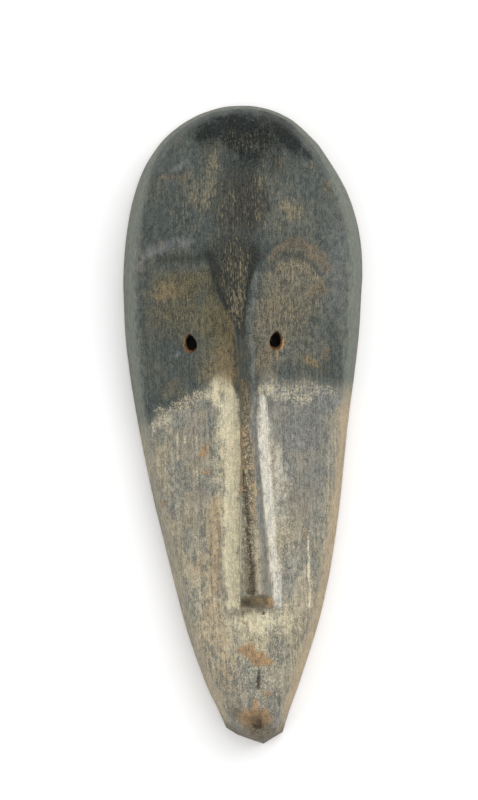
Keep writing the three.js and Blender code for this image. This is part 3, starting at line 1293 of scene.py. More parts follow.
@dataclass(frozen=True)
class Tint:
    """One finish: its middle colour as seen on a screen, and how far its grain strays from it."""

    red: float
    green: float
    blue: float
    spread: float = 0.6

    def lay(self, book: NodeBook, grain: Grain) -> Wire:
        """The colour over the grain, darker and lighter than the middle colour by turns.

        Args:
            book: where the nodes go.
            grain: the noises of the wood.

        Returns:
            The colour.
        """
        middle = linear(self.red, self.green, self.blue)[:3]
        dark = (*(part * (1 - self.spread) for part in middle), 1.0)
        light = (*(part * (1 + self.spread) for part in middle), 1.0)
        return book.mix(dark, light, grain.tone)


@dataclass(frozen=True)
class Coat:
    """A layer of paint, dirt or wear, or of painted shade or highlight, over what lies below it.

    It covers a share of most, broken up by a pattern of the grain, and its edge is soft by edge.
    """

    layer: Layer
    tint: Tint
    most: float = 0.9
    broken: float = 0.7
    edge: float = 0.15
    pattern: str = "blotch"

    def over(self, book: NodeBook, grain: Grain, below: Wire) -> Wire:
        """Lays the coat, broken up by one of the grain's patterns.

        Args:
            book: where the nodes go.
            grain: the noises of the wood.
            below: the colour that the coat goes over.

        Returns:
            The colour after it.
        """
        pattern = getattr(grain, self.pattern)
        depth = book.attribute(self.layer.value) * (pattern * 2 * self.broken + (1 - self.broken))
        cover = depth.ramp(0.5 - self.edge, 0.5 + self.edge)
        return book.mix(below, self.tint.lay(book, grain), cover * self.most)


@dataclass(frozen=True)
class MaskFinish:
    """The whole finish: wood, pale paint below, soot above, what wear and dirt did to them, and some
    painted shade and light.

    The coats are in the order in which they were laid. The height of the bumps is in millimetres.
    """

    soot: Tint = Tint(74, 80, 77, 0.5)
    soot_brown: Tint = Tint(80, 79, 70, 0.5)
    soot_pale: Tint = Tint(104, 107, 97, 0.4)
    cheek: Tint = Tint(130, 128, 117, 0.5)
    cheek_brown: Tint = Tint(146, 135, 112, 0.45)
    cheek_pale: Tint = Tint(172, 165, 145, 0.3)
    raw: Tint = Tint(126, 94, 62)
    hole: Tint = Tint(112, 84, 56, 0.7)
    # The side walls' colours, lighter than the paint beside them partly as a painted rim light from the
    # bright room.
    side_above_and_rim_light: Tint = Tint(116, 121, 111, 0.25)
    side_below_and_rim_light: Tint = Tint(150, 143, 126, 0.35)
    side_warm: Tint = Tint(168, 152, 126, 0.35)
    bump_strength: float = 0.7
    bump_height: float = 0.16
    least_rough: float = 0.6
    grit_rough: float = 0.25
    gloss: float = 0.15
    cool_cast: tuple[float, ...] = (0.96, 1.0, 1.03, 1.0)
    warm_cast: tuple[float, ...] = (1.05, 1.0, 0.94, 1.0)
    # How much the brown and the pale parts cover, on the cheeks and in the soot.
    cheek_shares: tuple[float, float] = (0.8, 0.6)
    soot_shares: tuple[float, float] = (0.5, 0.25)
    # Half of the width of the soot's lower edge, and how ragged the grain makes it.
    soot_edge: float = 1.2
    soot_ragged: float = 3.0
    # The same for the sides, where the change lies lower, and how much their three colours cover: two that
    # are lighter partly as a painted rim light, and a warm one.
    side_change: tuple[float, float] = (-9.0, 3.0)
    side_ragged: float = 6.0
    side_shares: tuple[float, float, float] = (0.8, 0.4, 0.9)
    lower_coats: tuple[Coat, ...] = (
        Coat(Layer.SLATE, Tint(111, 113, 111, 0.5), 0.85, 0.4, 0.45),
        Coat(Layer.CREAM, Tint(206, 197, 169, 0.3), 0.92, 0.6, 0.35, "flaked"),
        Coat(Layer.CHALK, Tint(214, 210, 198, 0.28), 0.9, 0.5, 0.45, "flaked"),
    )
    upper_coats: tuple[Coat, ...] = (
        Coat(Layer.OLIVE, Tint(93, 88, 68, 0.6), 0.9, 0.4, 0.45),
        Coat(Layer.TAN, Tint(106, 102, 89, 0.6), 0.9, 0.5, 0.45),
        # Bluish smears, and a painted highlight beside the V between the brows.
        Coat(Layer.SMEAR, Tint(106, 109, 107, 0.35), 0.85, 0.4, 0.45),
    )
    dark_coats: tuple[Coat, ...] = (
        Coat(Layer.DUSK, Tint(50, 50, 45, 0.75), 0.85, 0.5, 0.45),
        Coat(Layer.BLACK, Tint(23, 27, 26, 0.95), 0.97, 0.8, 0.35),
        Coat(Layer.FLECK, Tint(130, 119, 94, 0.3), 0.6, 0.9, 0.12, "dash"),
    )
    last_coats: tuple[Coat, ...] = (
        # Brown, and a painted shadow under the nose.
        Coat(Layer.UMBER_AND_SHADOW, Tint(99, 91, 75, 0.8), 0.9, 0.5, 0.4, "brush"),
        Coat(Layer.OCHRE, Tint(130, 113, 82, 0.45), 0.75, 0.6, 0.4),
        Coat(Layer.RUST, Tint(109, 98, 82, 0.5), 0.75, 0.6, 0.4),
        Coat(Layer.SPECK, Tint(184, 176, 150, 0.3), 0.75, 0.9, 0.17, "dot"),
        Coat(Layer.BARE, Tint(153, 124, 90, 0.5), 0.85, 0.65, 0.4),
        # Dark dirt, and painted shade on the nose's underside, in the mouth's groove and under the chin's
        # knob.
        Coat(Layer.GRIME_AND_SHADE, Tint(54, 47, 38, 0.9), 0.9, 0.6, 0.4, "brush"),
    )

    def material(self) -> bpy.types.Material:
        """Makes the mask's material.

        Returns:
            The material.
        """
        made = bpy.data.materials.new("worn_paint_on_wood")
        made.use_nodes = True
        book = NodeBook(made.node_tree)
        grain = Grain.read(book)
        relief = grain.streak * 0.5 + grain.pore * 0.4 + grain.grit * 0.5 + grain.mottle * 0.5
        bumps = {"Strength": self.bump_strength, "Distance": self.bump_height * MM, "Height": relief}
        values = {
            "Base Color": self._colour(book, grain),
            "Roughness": grain.grit * self.grit_rough + self.least_rough,
            "Normal": book.node("ShaderNodeBump", {}, bumps),
            "Specular IOR Level": self.gloss,
        }
        shader = book.node("ShaderNodeBsdfPrincipled", {}, values)
        book.add("ShaderNodeOutputMaterial", {}, {"Surface": shader})
        return made

    def _lower_face(self, book: NodeBook, grain: Grain, pale: Wire) -> Wire:
        """The pale paint of the cheeks and the chin, with what lies on it.

        Args:
            book: where the nodes go.
            grain: the noises of the wood.
            pale: where the paint is palest, from 0 to 1.

        Returns:
            The colour.
        """
        most_brown, most_pale = self.cheek_shares
        brown = (grain.cloud * 0.55 + grain.streak * 0.25 + grain.mottle * 0.2).ramp(0.3, 0.7)
        lower = book.mix(self.cheek.lay(book, grain), self.cheek_brown.lay(book, grain), brown * most_brown)
        lower = book.mix(lower, self.cheek_pale.lay(book, grain), pale * most_pale)
        for coat in self.lower_coats:
            lower = coat.over(book, grain, lower)
        return lower

    def _upper_face(self, book: NodeBook, grain: Grain, pale: Wire) -> Wire:
        """The soot of the forehead, the brows and the eye sockets, with what lies on it.

        Args:
            book: where the nodes go.
            grain: the noises of the wood.
            pale: where the soot is palest, from 0 to 1.

        Returns:
            The colour.
        """
        most_brown, most_pale = self.soot_shares
        brown = (grain.cloud * 0.5 + grain.mottle * 0.5).ramp(0.3, 0.8)
        upper = book.mix(self.soot.lay(book, grain), self.soot_brown.lay(book, grain), brown * most_brown)
        upper = book.mix(upper, self.soot_pale.lay(book, grain), pale * most_pale)
        for coat in (*self.upper_coats, *self.dark_coats):
            upper = coat.over(book, grain, upper)
        return upper

    def _sides(self, book: NodeBook, grain: Grain, colour: Wire) -> Wire:
        """The plainer paint that carries on over the side walls, lighter there partly as a painted rim
        light.

        Args:
            book: where the nodes go.
            grain: the noises of the wood.
            colour: the colour that it goes over.

        Returns:
            The colour after it.
        """
        most_above, most_below, most_warm = self.side_shares
        sides = (book.attribute("side") * (grain.mottle * 0.5 + 0.75)).ramp(0.1, 1.0)
        above = book.attribute("above") + (grain.mottle - 0.5) * self.side_ragged
        above = above.ramp(*self.side_change)
        colour = book.mix(colour, self.side_above_and_rim_light.lay(book, grain), sides * above * most_above)
        below = sides * (1 - above)
        colour = book.mix(colour, self.side_below_and_rim_light.lay(book, grain), below * most_below)
        warm = below * book.attribute("warm") * most_warm
        return book.mix(colour, self.side_warm.lay(book, grain), warm)

    def _colour(self, book: NodeBook, grain: Grain) -> Wire:
        """Lays the whole finish, from the paint to the bare wood of the hollow and the eye holes.

        Args:
            book: where the nodes go.
            grain: the noises of the wood.

        Returns:
            The colour.
        """
        pale = (grain.flaked * 0.65 + grain.cloud * 0.35).ramp(0.3, 0.85)
        lower = self._lower_face(book, grain, pale)
        upper = self._upper_face(book, grain, pale)
        ragged = (grain.grit - 0.5) * self.soot_ragged + (grain.mottle - 0.5) * self.soot_ragged
        above = (book.attribute("above") + ragged).ramp(-self.soot_edge, self.soot_edge)
        colour = book.mix(lower, upper, above)
        for coat in self.last_coats:
            colour = coat.over(book, grain, colour)
        colour = self._sides(book, grain, colour)
        cast = book.mix(self.cool_cast, self.warm_cast, grain.warmth)
        colour = book.node("ShaderNodeVectorMath", {"operation": "MULTIPLY"}, {0: colour, 1: cast})
        colour = book.mix(colour, self.raw.lay(book, grain), book.attribute("hollow"))
        return book.mix(colour, self.hole.lay(book, grain), book.attribute("eye"))


@dataclass(frozen=True)
class KnifeWork:
    """The marks of the tools, cut into the mesh: knife flats outside and gouge scoops in the hollow."""

    flat_width: float = 6.5
    flat_length: float = 13.0
    flat_depth: float = 0.22
    scoop_width: float = 5.0
    scoop_length: float = 11.0
    scoop_depth: float = 0.75
    # How far apart the two patterns are in the noise, and how much narrower a cut is than its cell.
    scoop_shift: float = 3.0
    narrowing: float = 1.6
    seed: int = 7

    # The tree's inputs that size the cuts. Each has a field of its name above, in millimetres.
    SIZES = tuple(f"{cut} {size}" for cut in ("Flat", "Scoop") for size in ("width", "length", "depth"))

    def tree(self) -> bpy.types.NodeTree:
        """Builds the node tree.

        Returns:
            The tree, whose inputs are the mesh, the sizes of the cuts in metres and the finish.
        """
        made = bpy.data.node_groups.new("tool_marks", "GeometryNodeTree")
        book = NodeBook(made)
        made.interface.new_socket("Geometry", in_out="OUTPUT", socket_type="NodeSocketGeometry")
        made.interface.new_socket("Geometry", in_out="INPUT", socket_type="NodeSocketGeometry")
        for name in (*self.SIZES, "Seed"):
            made.interface.new_socket(name, in_out="INPUT", socket_type="NodeSocketFloat")
        made.interface.new_socket("Finish", in_out="INPUT", socket_type="NodeSocketMaterial")
        entry = book.add("NodeGroupInput", {})
        value = {socket.name: Wire(book, socket) for socket in entry.outputs if socket.name}
        flats = self._cuts(book, value, "Flat", "shave", 0.0)
        scoops = self._cuts(book, value, "Scoop", "cut", self.scoop_shift)
        normal = book.node("GeometryNodeInputNormal", {})
        depth = 0.0 - (flats + scoops)
        offset = book.node("ShaderNodeVectorMath", {"operation": "SCALE"}, {0: normal, "Scale": depth})
        moved = {"Geometry": value["Geometry"], "Offset": offset}
        carved = book.node("GeometryNodeSetPosition", {}, moved)
        whole = book.node("GeometryNodeRealizeInstances", {}, {"Geometry": carved})
        done = book.node("GeometryNodeSetMaterial", {}, {"Geometry": whole, "Material": value["Finish"]})
        book.add("NodeGroupOutput", {}, {"Geometry": done})
        return made

    def _cuts(self, book: NodeBook, value: dict[str, Wire], name: str, mask: str, shift: float) -> Wire:
        """How deep one kind of cut goes: deepest in the middle of each cell, and nothing between.

        Args:
            book: where the nodes go.
            value: the tree's inputs by name.
            name: the first word of the inputs that size this cut.
            mask: the attribute that says where it is made.
            shift: sets its pattern apart from the other kind's.

        Returns:
            The depth in metres.
        """
        place = book.node("GeometryNodeInputPosition", {})
        parts = book.add("ShaderNodeSeparateXYZ", {}, {0: place})
        x, y, z = (Wire(book, socket) for socket in parts.outputs)
        width, length = value[f"{name} width"], value[f"{name} length"]
        shares = ((x, width), (y, length), (z, width))
        scaled = [book.node("ShaderNodeMath", {"operation": "DIVIDE"}, pair) for pair in shares]
        cell = book.node("ShaderNodeCombineXYZ", {}, scaled)
        settings = {"voronoi_dimensions": "4D", "feature": "F1"}
        inputs = {"Vector": cell, "W": value["Seed"] + shift, "Scale": 1.0}
        distance = book.node("ShaderNodeTexVoronoi", settings, inputs, "Distance")
        strength = book.node("GeometryNodeInputNamedAttribute", {"data_type": "FLOAT"}, {"Name": mask})
        deep = (1.0 - distance * distance * self.narrowing).clamped()
        return deep * value[f"{name} depth"] * strength

    def carve(self, piece: bpy.types.Object, finish: bpy.types.Material) -> None:
        """Runs the tree on a piece and keeps the result as its plain mesh.

        Args:
            piece: the mask.
            finish: its material.
        """
        modifier = piece.modifiers.new("tool_marks", "NODES")
        modifier.node_group = self.tree()
        values = {name: getattr(self, name.lower().replace(" ", "_")) * MM for name in self.SIZES}
        values |= {"Seed": float(self.seed), "Finish": finish}
        for item in modifier.node_group.interface.items_tree:
            if item.in_out == "INPUT" and item.name in values:
                modifier[item.identifier] = values[item.name]
        graph = bpy.context.evaluated_depsgraph_get()
        carved = bpy.data.meshes.new_from_object(piece.evaluated_get(graph))
        piece.modifiers.remove(modifier)
        plain, piece.data = piece.data, carved
        bpy.data.meshes.remove(plain)


MARKS: dict[Layer, tuple[Patch | Stroke, ...]] = {
    # Cream paint beside the nose, on the cheeks and under the nose
    Layer.CREAM: (
        Stroke(
            (
                (-5.6, 6, 2.8), (-5.2, 0, 2.6), (-5, -10, 2.4), (-5, -22, 2.3),
                (-5.4, -35, 2.1), (-5.6, -46, 2.3), (-5.8, -54, 2.5),
            ),
            1.15, ground=Ground.CUT, softness=1, ragged=0.6,
        ),
        Stroke(
            ((-7, -4, 3.4), (-7, -20, 4.2), (-7.4, -40, 3.6), (-8, -54, 4)),
            0.42, ground=Ground.CUT, softness=1, ragged=0.8,
        ),
        Stroke(
            ((-6.9, 8, 3.4), (-6, 0, 2.6), (-5.6, -6, 2.2)),
            0.7, ground=Ground.CUT, softness=1, ragged=1,
        ),
        Patch(-7.2, 11.6, 4.6, 4.2, 0.8, ground=Ground.CUT, softness=0.7),
        Stroke(
            ((-4.2, 9, 1.7), (-3.8, 0, 1.7), (-4, -12, 1.6)),
            1.2, ground=Ground.CUT, softness=0.6, ragged=0.3,
        ),
        Stroke(((-4.8, -13, 2.2), (-5, -30, 2)), 1.3, ground=Ground.CUT, softness=0.9, ragged=0.5),
        Patch(-13, 9.4, 4, 2.2, 0.2, turn=12, softness=0.9),
        Patch(-25.6, 3.4, 2.8, 2.6, 0.45),
        Patch(-28.6, 0.4, 0.9, 3, 0.6),
        Patch(7, 11.4, 2.6, 3, 0.56, ground=Ground.CUT, softness=0.9),
        Patch(4.2, 10.6, 0.9, 2.6, 0.6, ground=Ground.CUT, ragged=0.4),
        Patch(1.5, -60.4, 11, 3.8, 0.7, ground=Ground.CUT, softness=0.9),
        Patch(-4.5, -62.5, 8, 6, 0.4, softness=0.9),
        Patch(12.5, -52, 5, 10, 0.12, softness=0.9),
        Patch(-22, -22, 3.5, 20, 0.25, turn=9, softness=0.9),
        Patch(-14, -56, 6, 15, 0.42, softness=0.9),
        Patch(-8, -70, 6, 8, 0.42, softness=0.9),
        Patch(-16.2, -37, 3, 5, 0.38, softness=0.9),
        Stroke(((-16.6, -46, 1), (-16.4, -60, 1.2)), 0.4, softness=1, ragged=0.7),
        Stroke(((18.1, -33, 0.4), (17.8, -56, 0.45)), 0.6),
        Stroke(((-21.4, -0.6, 0.4), (-21.4, -10, 0.4)), 0.58, softness=0.7, ragged=0.1),
        Stroke(((-15.6, -3, 0.3), (-15.8, -18, 0.3)), 0.6, ragged=0.1),
        Stroke(((-19, -2.6, 0.4), (-18.8, -4.8, 0.4)), 0.6),
        Stroke(
            ((0.2, -12, 0.4), (0, -20, 0.4), (-0.4, -29, 0.35)),
            0.7, ground=Ground.STANDING, ragged=0.2,
        ),
        Stroke(
            ((-3.2, -6, 1.1), (-3.2, -24, 1.1), (-3.2, -44, 1)),
            0.55, ground=Ground.STANDING, softness=1, ragged=0.4,
        ),
    ),
    # The white strip on the other side of the nose, and the dust beside it
    Layer.CHALK: (
        Stroke(
            (
                (4.8, 8.4, 0.9), (4.9, 2, 1.5), (4.9, -6, 1.4), (5.2, -12, 1.6),
                (5.7, -20, 1.6), (6.3, -30, 1.1), (6.6, -36, 0.9),
            ),
            1.2, ground=Ground.CUT, softness=1,
        ),
        Stroke(
            ((6.6, -34, 1.1), (7.4, -44, 1.5), (8.2, -54, 1.8)),
            0.82, ground=Ground.CUT, softness=1, ragged=0.6,
        ),
        Patch(13, -48, 7, 14, 0.2, ground=Ground.CUT, softness=0.9),
        Patch(7, -3, 2.4, 6, 0.34, ground=Ground.CUT, softness=0.9),
        Patch(8.8, -18, 2.6, 14, 0.45, ground=Ground.CUT, softness=0.9),
        Stroke(((13, -2.4, 0.6), (17, -7, 0.6)), 0.25, softness=0.9),
        Stroke(
            ((4, -14, 0.5), (5.4, -36, 0.6), (6.2, -50, 0.6)),
            0.4, ground=Ground.STANDING, softness=0.9, ragged=0.2,
        ),
    ),
    # Slate grey on the cheeks, beside the nose and on the chin
    Layer.SLATE: (
        Patch(17, 8, 14, 5.4, ground=Ground.CUT),
        Patch(16.5, -2, 9, 7, 1.15, softness=0.8),
        Patch(17, -18, 8, 14, 0.66, softness=0.9),
        Patch(12.6, -19, 5, 14, 0.7, ground=Ground.CUT, softness=0.9),
        Patch(8, 5, 6, 7, 0.8, ground=Ground.CUT, softness=0.9),
        Patch(10, -48, 5, 12, 0.36, ground=Ground.CUT, softness=0.9),
        Patch(-15, -21, 4.4, 5, 0.56, softness=0.9),
        Patch(-21, -30, 3, 6, 0.3, softness=0.9),
        Patch(15, -32, 6, 9, 0.42, softness=0.9),
        Patch(-17, 7, 8, 3.4, 0.6),
        Patch(-17, -3, 9, 11, 0.54, softness=1),
        Stroke(((2.4, 9, 1.4), (2.7, -6, 1.3)), 1.2, ground=Ground.STANDING, softness=0.7, ragged=0.2),
        Stroke(
            ((2.7, -6, 1.1), (3.6, -24, 1.2), (4.4, -50, 1.6)),
            0.75, ground=Ground.STANDING, softness=0.9, ragged=0.2,
        ),
        Patch(2.6, -83, 9, 10, 0.7, softness=0.9),
        Patch(0, -96, 9, 4, 0.6, softness=0.9),
        Patch(-24.5, -35, 2.4, 16, 0.35, turn=14, softness=0.9),
        Patch(-3, -74.6, 2.6, 2.2, 0.8),
        Patch(8.5, -72, 4, 8, 0.5),
        Patch(-6, -80, 4, 7, 0.4),
        Patch(4, -95, 4, 3, 0.5),
        Patch(-5.5, -94, 3.4, 3, 0.6),
    ),
    # Olive brown over the left socket
    Layer.OLIVE: (
        Patch(-7.5, 32, 5.5, 12, 0.9, ground=Ground.CUT),
        Patch(-17, 43.5, 10.5, 5, 0.8),
        Patch(-21, 34, 9, 8, 0.62, softness=0.9),
        Patch(-13.5, 34, 6, 7, 0.6),
    ),
    # Tan over the right socket and along the left edge of the nose's bridge
    Layer.TAN: (
        Patch(14.5, 41, 11, 10, 0.75),
        Patch(7, 27, 5.5, 15, ground=Ground.CUT),
        Patch(16, 24, 10, 8, 0.5, softness=0.9),
        Stroke(
            ((-4.4, 33, 0.4), (-3.2, 26, 0.45), (-2.8, 12, 0.5)),
            0.9, ground=Ground.STANDING, ragged=0.1,
        ),
    ),
    # Bluish smears on the brows, on the right side and on the nose, and a painted highlight beside the V
    # between the brows
    Layer.SMEAR: (
        Stroke(((-31, 50, 1.2), (-29, 52.6, 1.5), (-25, 54.2, 1.8)), 0.95, softness=0.9, ragged=0.8),
        Stroke(((-23, 55, 1.5), (-17, 55.6, 1.4)), 0.8, softness=0.9, ragged=0.8),
        Patch(-18, 79.3, 3.4, 0.9, 0.6, turn=5),
        Patch(-21.5, 22.5, 0.9, 1, 0.9),
        Patch(14, 66, 12, 12, 0.25, softness=0.9),
        Patch(30, 47, 6, 20, 0.6, softness=1),
        # A painted highlight along the right edge of the V between the brows.
        Stroke(
            ((4.6, 46, 0.9), (2.8, 40, 0.9), (2, 30, 0.9), (2.2, 14, 1.1)),
            0.7, ground=Ground.CUT, softness=0.9,
        ),
        Stroke(((2.3, 12, 1.2), (2.4, -3, 1.1)), 0.9, ground=Ground.STANDING, ragged=0.2),
    ),
    # Thin soot on the forehead, along the brows and down the bridge of the nose
    Layer.DUSK: (
        Patch(-3, 50, 9, 8, ground=Ground.STANDING, softness=0.9),
        Stroke(((-2.5, 46, 8), (-1.4, 38, 5.6), (-0.1, 29, 2.6)), 0.9, ground=Ground.STANDING),
        Stroke(
            ((-0.1, 29, 2.2), (-0.2, 18, 1.5), (0, 6, 1.6)),
            0.46, ground=Ground.STANDING, softness=0.6,
        ),
        Patch(0.6, 67, 7.5, 12, 0.95, softness=1),
        Patch(4, 76, 14, 7, 0.4, softness=1),
        Patch(-24.6, 63, 2, 8, 0.4, softness=1),
        Stroke(((-25, 51, 1.1), (-12, 51.2, 1.3)), 0.6, softness=0.9),
        Stroke(((9, 49.4, 0.9), (15, 51.4, 1.1), (20.6, 49.4, 1.1), (23, 45.6, 1)), 0.5, softness=0.9),
    ),
    # Thick soot on the crown, down the middle of the forehead and below the eyes
    Layer.BLACK: (
        Patch(2, 89.6, 13, 6.2, 1.05, softness=1, ragged=1.5),
        Patch(-8.6, 88.6, 5.4, 2.4, 0.9, turn=4, softness=0.9),
        Patch(12.6, 88, 6.6, 5.4, 0.9, turn=-22, softness=1, ragged=1.5),
        Patch(4.6, 82.8, 9.4, 6.4, 0.68, softness=1, ragged=1.5),
        Patch(20.6, 82.6, 3.4, 2.2, 0.7, turn=-50, softness=0.9),
        Stroke(
            ((-10.6, 52, 1.8), (-9.2, 44, 2), (-7, 39, 1.8), (-4.2, 32, 1.3)),
            0.5, ground=Ground.STANDING, softness=1,
        ),
        Stroke(
            ((3.8, 53, 2), (2.8, 46, 2.2), (1, 40, 1.6), (0.1, 32, 1)),
            0.45, ground=Ground.STANDING, softness=1,
        ),
        Patch(-16.5, 17, 6, 4, 0.35, softness=0.9),
        Patch(25.5, 17, 4, 4.5, 0.35, softness=0.9),
    ),
    # Tan dashes along the grain
    Layer.FLECK: (
        Patch(0, 70, 40, 30, 0.29),
        Patch(-1.6, 36, 5, 8, 0.5, ground=Ground.STANDING),
        Stroke(
            ((8, 44.6, 1.6), (12.6, 47.4, 2.2), (17, 48.2, 2.4), (20.6, 46, 2.2), (23, 42, 2)),
            0.6, softness=0.8,
        ),
        Patch(-11, 70.5, 5, 7.5, 0.42),
        Patch(-8.6, 80, 3.6, 6, 0.37),
        Patch(-16, 63, 8, 8, 0.38),
        Patch(15, 65.4, 4, 4, 0.46),
        Patch(2, 89, 13, 6, 0.28),
        Patch(7, 62, 4, 7, 0.34),
        Patch(22, 78, 2, 3.6, 0.42),
        Patch(-2.6, 49, 6.5, 9, 0.41, ground=Ground.STANDING),
        Patch(15, 36, 12, 16, 0.36),
        Patch(-18, 36, 12, 14, 0.3),
    ),
    # Brown on the nose, on its underside and on the chin, and a painted shadow just under the nose
    Layer.UMBER_AND_SHADOW: (
        Stroke(
            ((-0.8, 12, 2.4), (-0.9, 0, 1.9), (-0.5, -15, 1.8), (-0.4, -30, 1.8), (-0.4, -50, 1.8)),
            0.9, ground=Ground.STANDING, ragged=0.2,
        ),
        Patch(1.7, -54.2, 6.4, 2.6, 1.1, ground=Ground.STANDING, softness=0.3, ragged=0.3),
        # A painted shadow on the face just under the nose's end.
        Patch(0, -56.9, 5.6, 1.5, 0.6, ground=Ground.CUT, softness=0.9, ragged=0.5),
        Patch(0, -96, 10, 3.8, 0.82, softness=0.9),
        Patch(-6, -87.6, 3, 2.6, 0.4, softness=0.9),
        Stroke(((-9, -94.4, 2.4), (-5, -96.6, 2.4), (1, -98.6, 2.6), (9, -96, 2.4)), 0.8, softness=0.8),
    ),
    # Ochre in the sockets, on the forehead and at the end of the nose
    Layer.OCHRE: (
        Patch(-24, 40.8, 6, 2.4, 0.55, softness=0.9),
        Patch(2.6, -53.8, 4.6, 1.8, 0.75, ground=Ground.STANDING, softness=0.8, ragged=0.4),
        Patch(-6, 18, 3.6, 7, 0.85, softness=1),
        Patch(-10.2, 17, 4, 6, 0.62, ground=Ground.CUT, softness=1),
        Patch(-23, 12, 5, 4, 0.36, softness=1),
        Stroke(((-5, 34, 1.1), (-4, 27, 1.1), (-3.4, 14, 1.1)), 0.55, softness=0.9),
        Patch(-8, 31, 4, 8, 0.3, ground=Ground.CUT, softness=1),
        Patch(-7.2, 10.5, 4, 3.6, 0.3, ground=Ground.CUT, softness=0.9),
        Patch(-8, 80.5, 2.4, 5, 0.26),
        Patch(15, 65.5, 2.4, 1.8, 0.22),
        Patch(17, 51.6, 8, 5, 0.3, softness=0.9),
        Patch(27, 72.4, 0.9, 1.8, 0.6),
        Patch(22.2, 78, 0.7, 1.6, 0.45),
        Patch(-1.2, 50, 3.2, 4.4, 0.25, ground=Ground.STANDING, softness=0.9),
        Patch(20, 18.6, 2.8, 1.6, 0.7),
        Patch(25, 21, 2, 4, 0.35),
        Patch(5.4, 20, 2.4, 3, 0.4),
    ),
    # Rusty arcs over the right eye, and a few streaks and spots
    Layer.RUST: (
        Stroke(((-24, 76.6, 1.1), (-16, 76.4, 1)), 0.6, softness=0.9),
        Stroke(
            ((8, 50.6, 1.2), (12, 53.4, 1.6), (17, 54.4, 1.9), (22, 52, 1.9), (25.4, 48, 1.6)),
            0.8, softness=0.9, ragged=0.8,
        ),
        Stroke(((20, 41, 1.3), (24.4, 39.4, 1.1)), 0.8, softness=0.9, ragged=0.7),
        Patch(18.4, 78.2, 3, 1.6, 0.4),
        Patch(-26, 55.8, 1.8, 0.8, 0.6),
        Patch(-31.4, 49.5, 1.2, 2.2, 0.6),
    ),
    # Cream specks along the paint's edge and on the cheeks
    Layer.SPECK: (
        Patch(15, 9.6, 9, 4.6, 0.44),
        Patch(25, 9.6, 4.6, 2.4, 0.4),
        Patch(-19, 7.4, 9, 2.8, 0.46, turn=27),
        Patch(-26, 3, 4, 4, 0.42),
        Patch(16.5, 47.6, 4, 2, 0.33, softness=0.9),
        Patch(22, 43, 2.4, 2.4, 0.33, softness=0.9),
        Patch(1, -74, 15, 20, 0.4, softness=0.9),
        Patch(9, -59, 8, 8, 0.4),
        Patch(10, -28, 6, 24, 0.36, ground=Ground.CUT),
        Patch(0, -20, 3, 34, 0.38, ground=Ground.STANDING),
        Patch(-9, -16, 3, 12, 0.36, ground=Ground.CUT),
    ),
    # Bare wood at the mouth, the chin knob, the eyes, the nose and the left cheek
    Layer.BARE: (
        Patch(-12.5, -7.6, 1.5, 1.8, 0.8),
        Patch(-12.6, -14, 1.2, 1.2, 0.8),
        Patch(-27.8, -23.4, 0.8, 1.6, 0.9),
        Stroke(
            ((-9.4, -23, 2), (-10.4, -32, 2.5), (-11.6, -42, 2.8), (-11.5, -50, 2.6)),
            0.42, softness=0.95, ragged=0.8,
        ),
        Patch(-15.6, -41, 2, 5, 0.35),
        Patch(-13.6, -57, 2.6, 6, 0.42),
        Patch(-11, -60, 7, 20, 0.3, turn=6, softness=0.9),
        Patch(-8, -74, 5, 9, 0.38, softness=0.9),
        Patch(-16, -66, 3, 5, 0.3),
        Patch(16.8, -34.6, 1.8, 3, 0.4),
        Patch(0.8, -70.7, 4.2, 2.2, 1.2, turn=-26, softness=0.5, ragged=0.45),
        Patch(-2.6, -69.2, 2.4, 1, turn=-8, ragged=0.5),
        Patch(4, -72.2, 1.8, 1.2, turn=-20, ragged=0.5),
        Patch(-0.4, -68, 1.4, 1.2, 0.9, ragged=0.5),
        Stroke(((-0.3, -83.6, 0.6), (-0.2, -87, 1.2)), softness=0.8, ragged=0.6),
        Patch(0.2, -90, 4.6, 3.1, 1.15, softness=0.8, ragged=0.6),
        Patch(-3.2, -90.2, 2, 1.5, 0.6),
        Patch(4.2, -88.6, 1.6, 1.2, 0.6),
        Stroke(((3, -81.6, 0.4), (5.2, -83, 0.5)), 0.8),
        Patch(6.1, -54.4, 1.1, 1.7, 1.1, softness=0.4, ragged=0.4),
        Patch(7.6, -57, 0.9, 0.6, 0.9),
        Patch(-2, -60.4, 1.4, 0.6, 0.8, turn=-20),
        Stroke(
            ((-1.5, 0, 1), (-2.1, -10, 1), (-2.3, -20, 0.9)),
            0.6, ground=Ground.STANDING, softness=0.9, ragged=0.2,
        ),
        Stroke(
            ((0.8, -3, 0.9), (1.2, -14, 1.1), (1.6, -30, 1)),
            0.45, ground=Ground.STANDING, softness=1, ragged=0.2,
        ),
        Patch(-18, 25.3, 1, 2.3, 0.8),
        Patch(11.4, 25.2, 0.7, 2.6, 0.9),
        Patch(9.5, 21.7, 1, 0.8, 0.7),
    ),
    # Dark dirt on the nose and the chin, and painted shade: in the left part of the nose's underside, along
    # a groove under the mouth that is not carved, and under the chin's knob
    Layer.GRIME_AND_SHADE: (
        Stroke(
            ((-1.2, -14, 0.6), (-0.9, -24, 0.8), (-0.2, -34, 0.8), (0.2, -51, 0.9)),
            0.66, ground=Ground.STANDING, softness=1, ragged=0.5,
        ),
        Stroke(
            ((-2.7, -36, 0.4), (-2.7, -51, 0.5)),
            0.35, ground=Ground.STANDING, softness=0.9, ragged=0.3,
        ),
        Patch(0.2, -90.4, 4.8, 3.4, 0.5, softness=0.9, ragged=0.6),
        # Painted shade in the left part of the nose's underside.
        Patch(-1.4, -54.2, 2.4, 1.3, 0.62, ground=Ground.STANDING, softness=0.8, ragged=0.3),
        # A painted shade line for a groove under the mouth, which the mesh does not carve.
        Stroke(((1.5, -75, 0.7), (1.1, -80, 0.7)), 0.8),
        Patch(3, -83.4, 3, 2.4, 0.34, softness=0.9),
        # Painted shadow under the lower edge of the chin's knob.
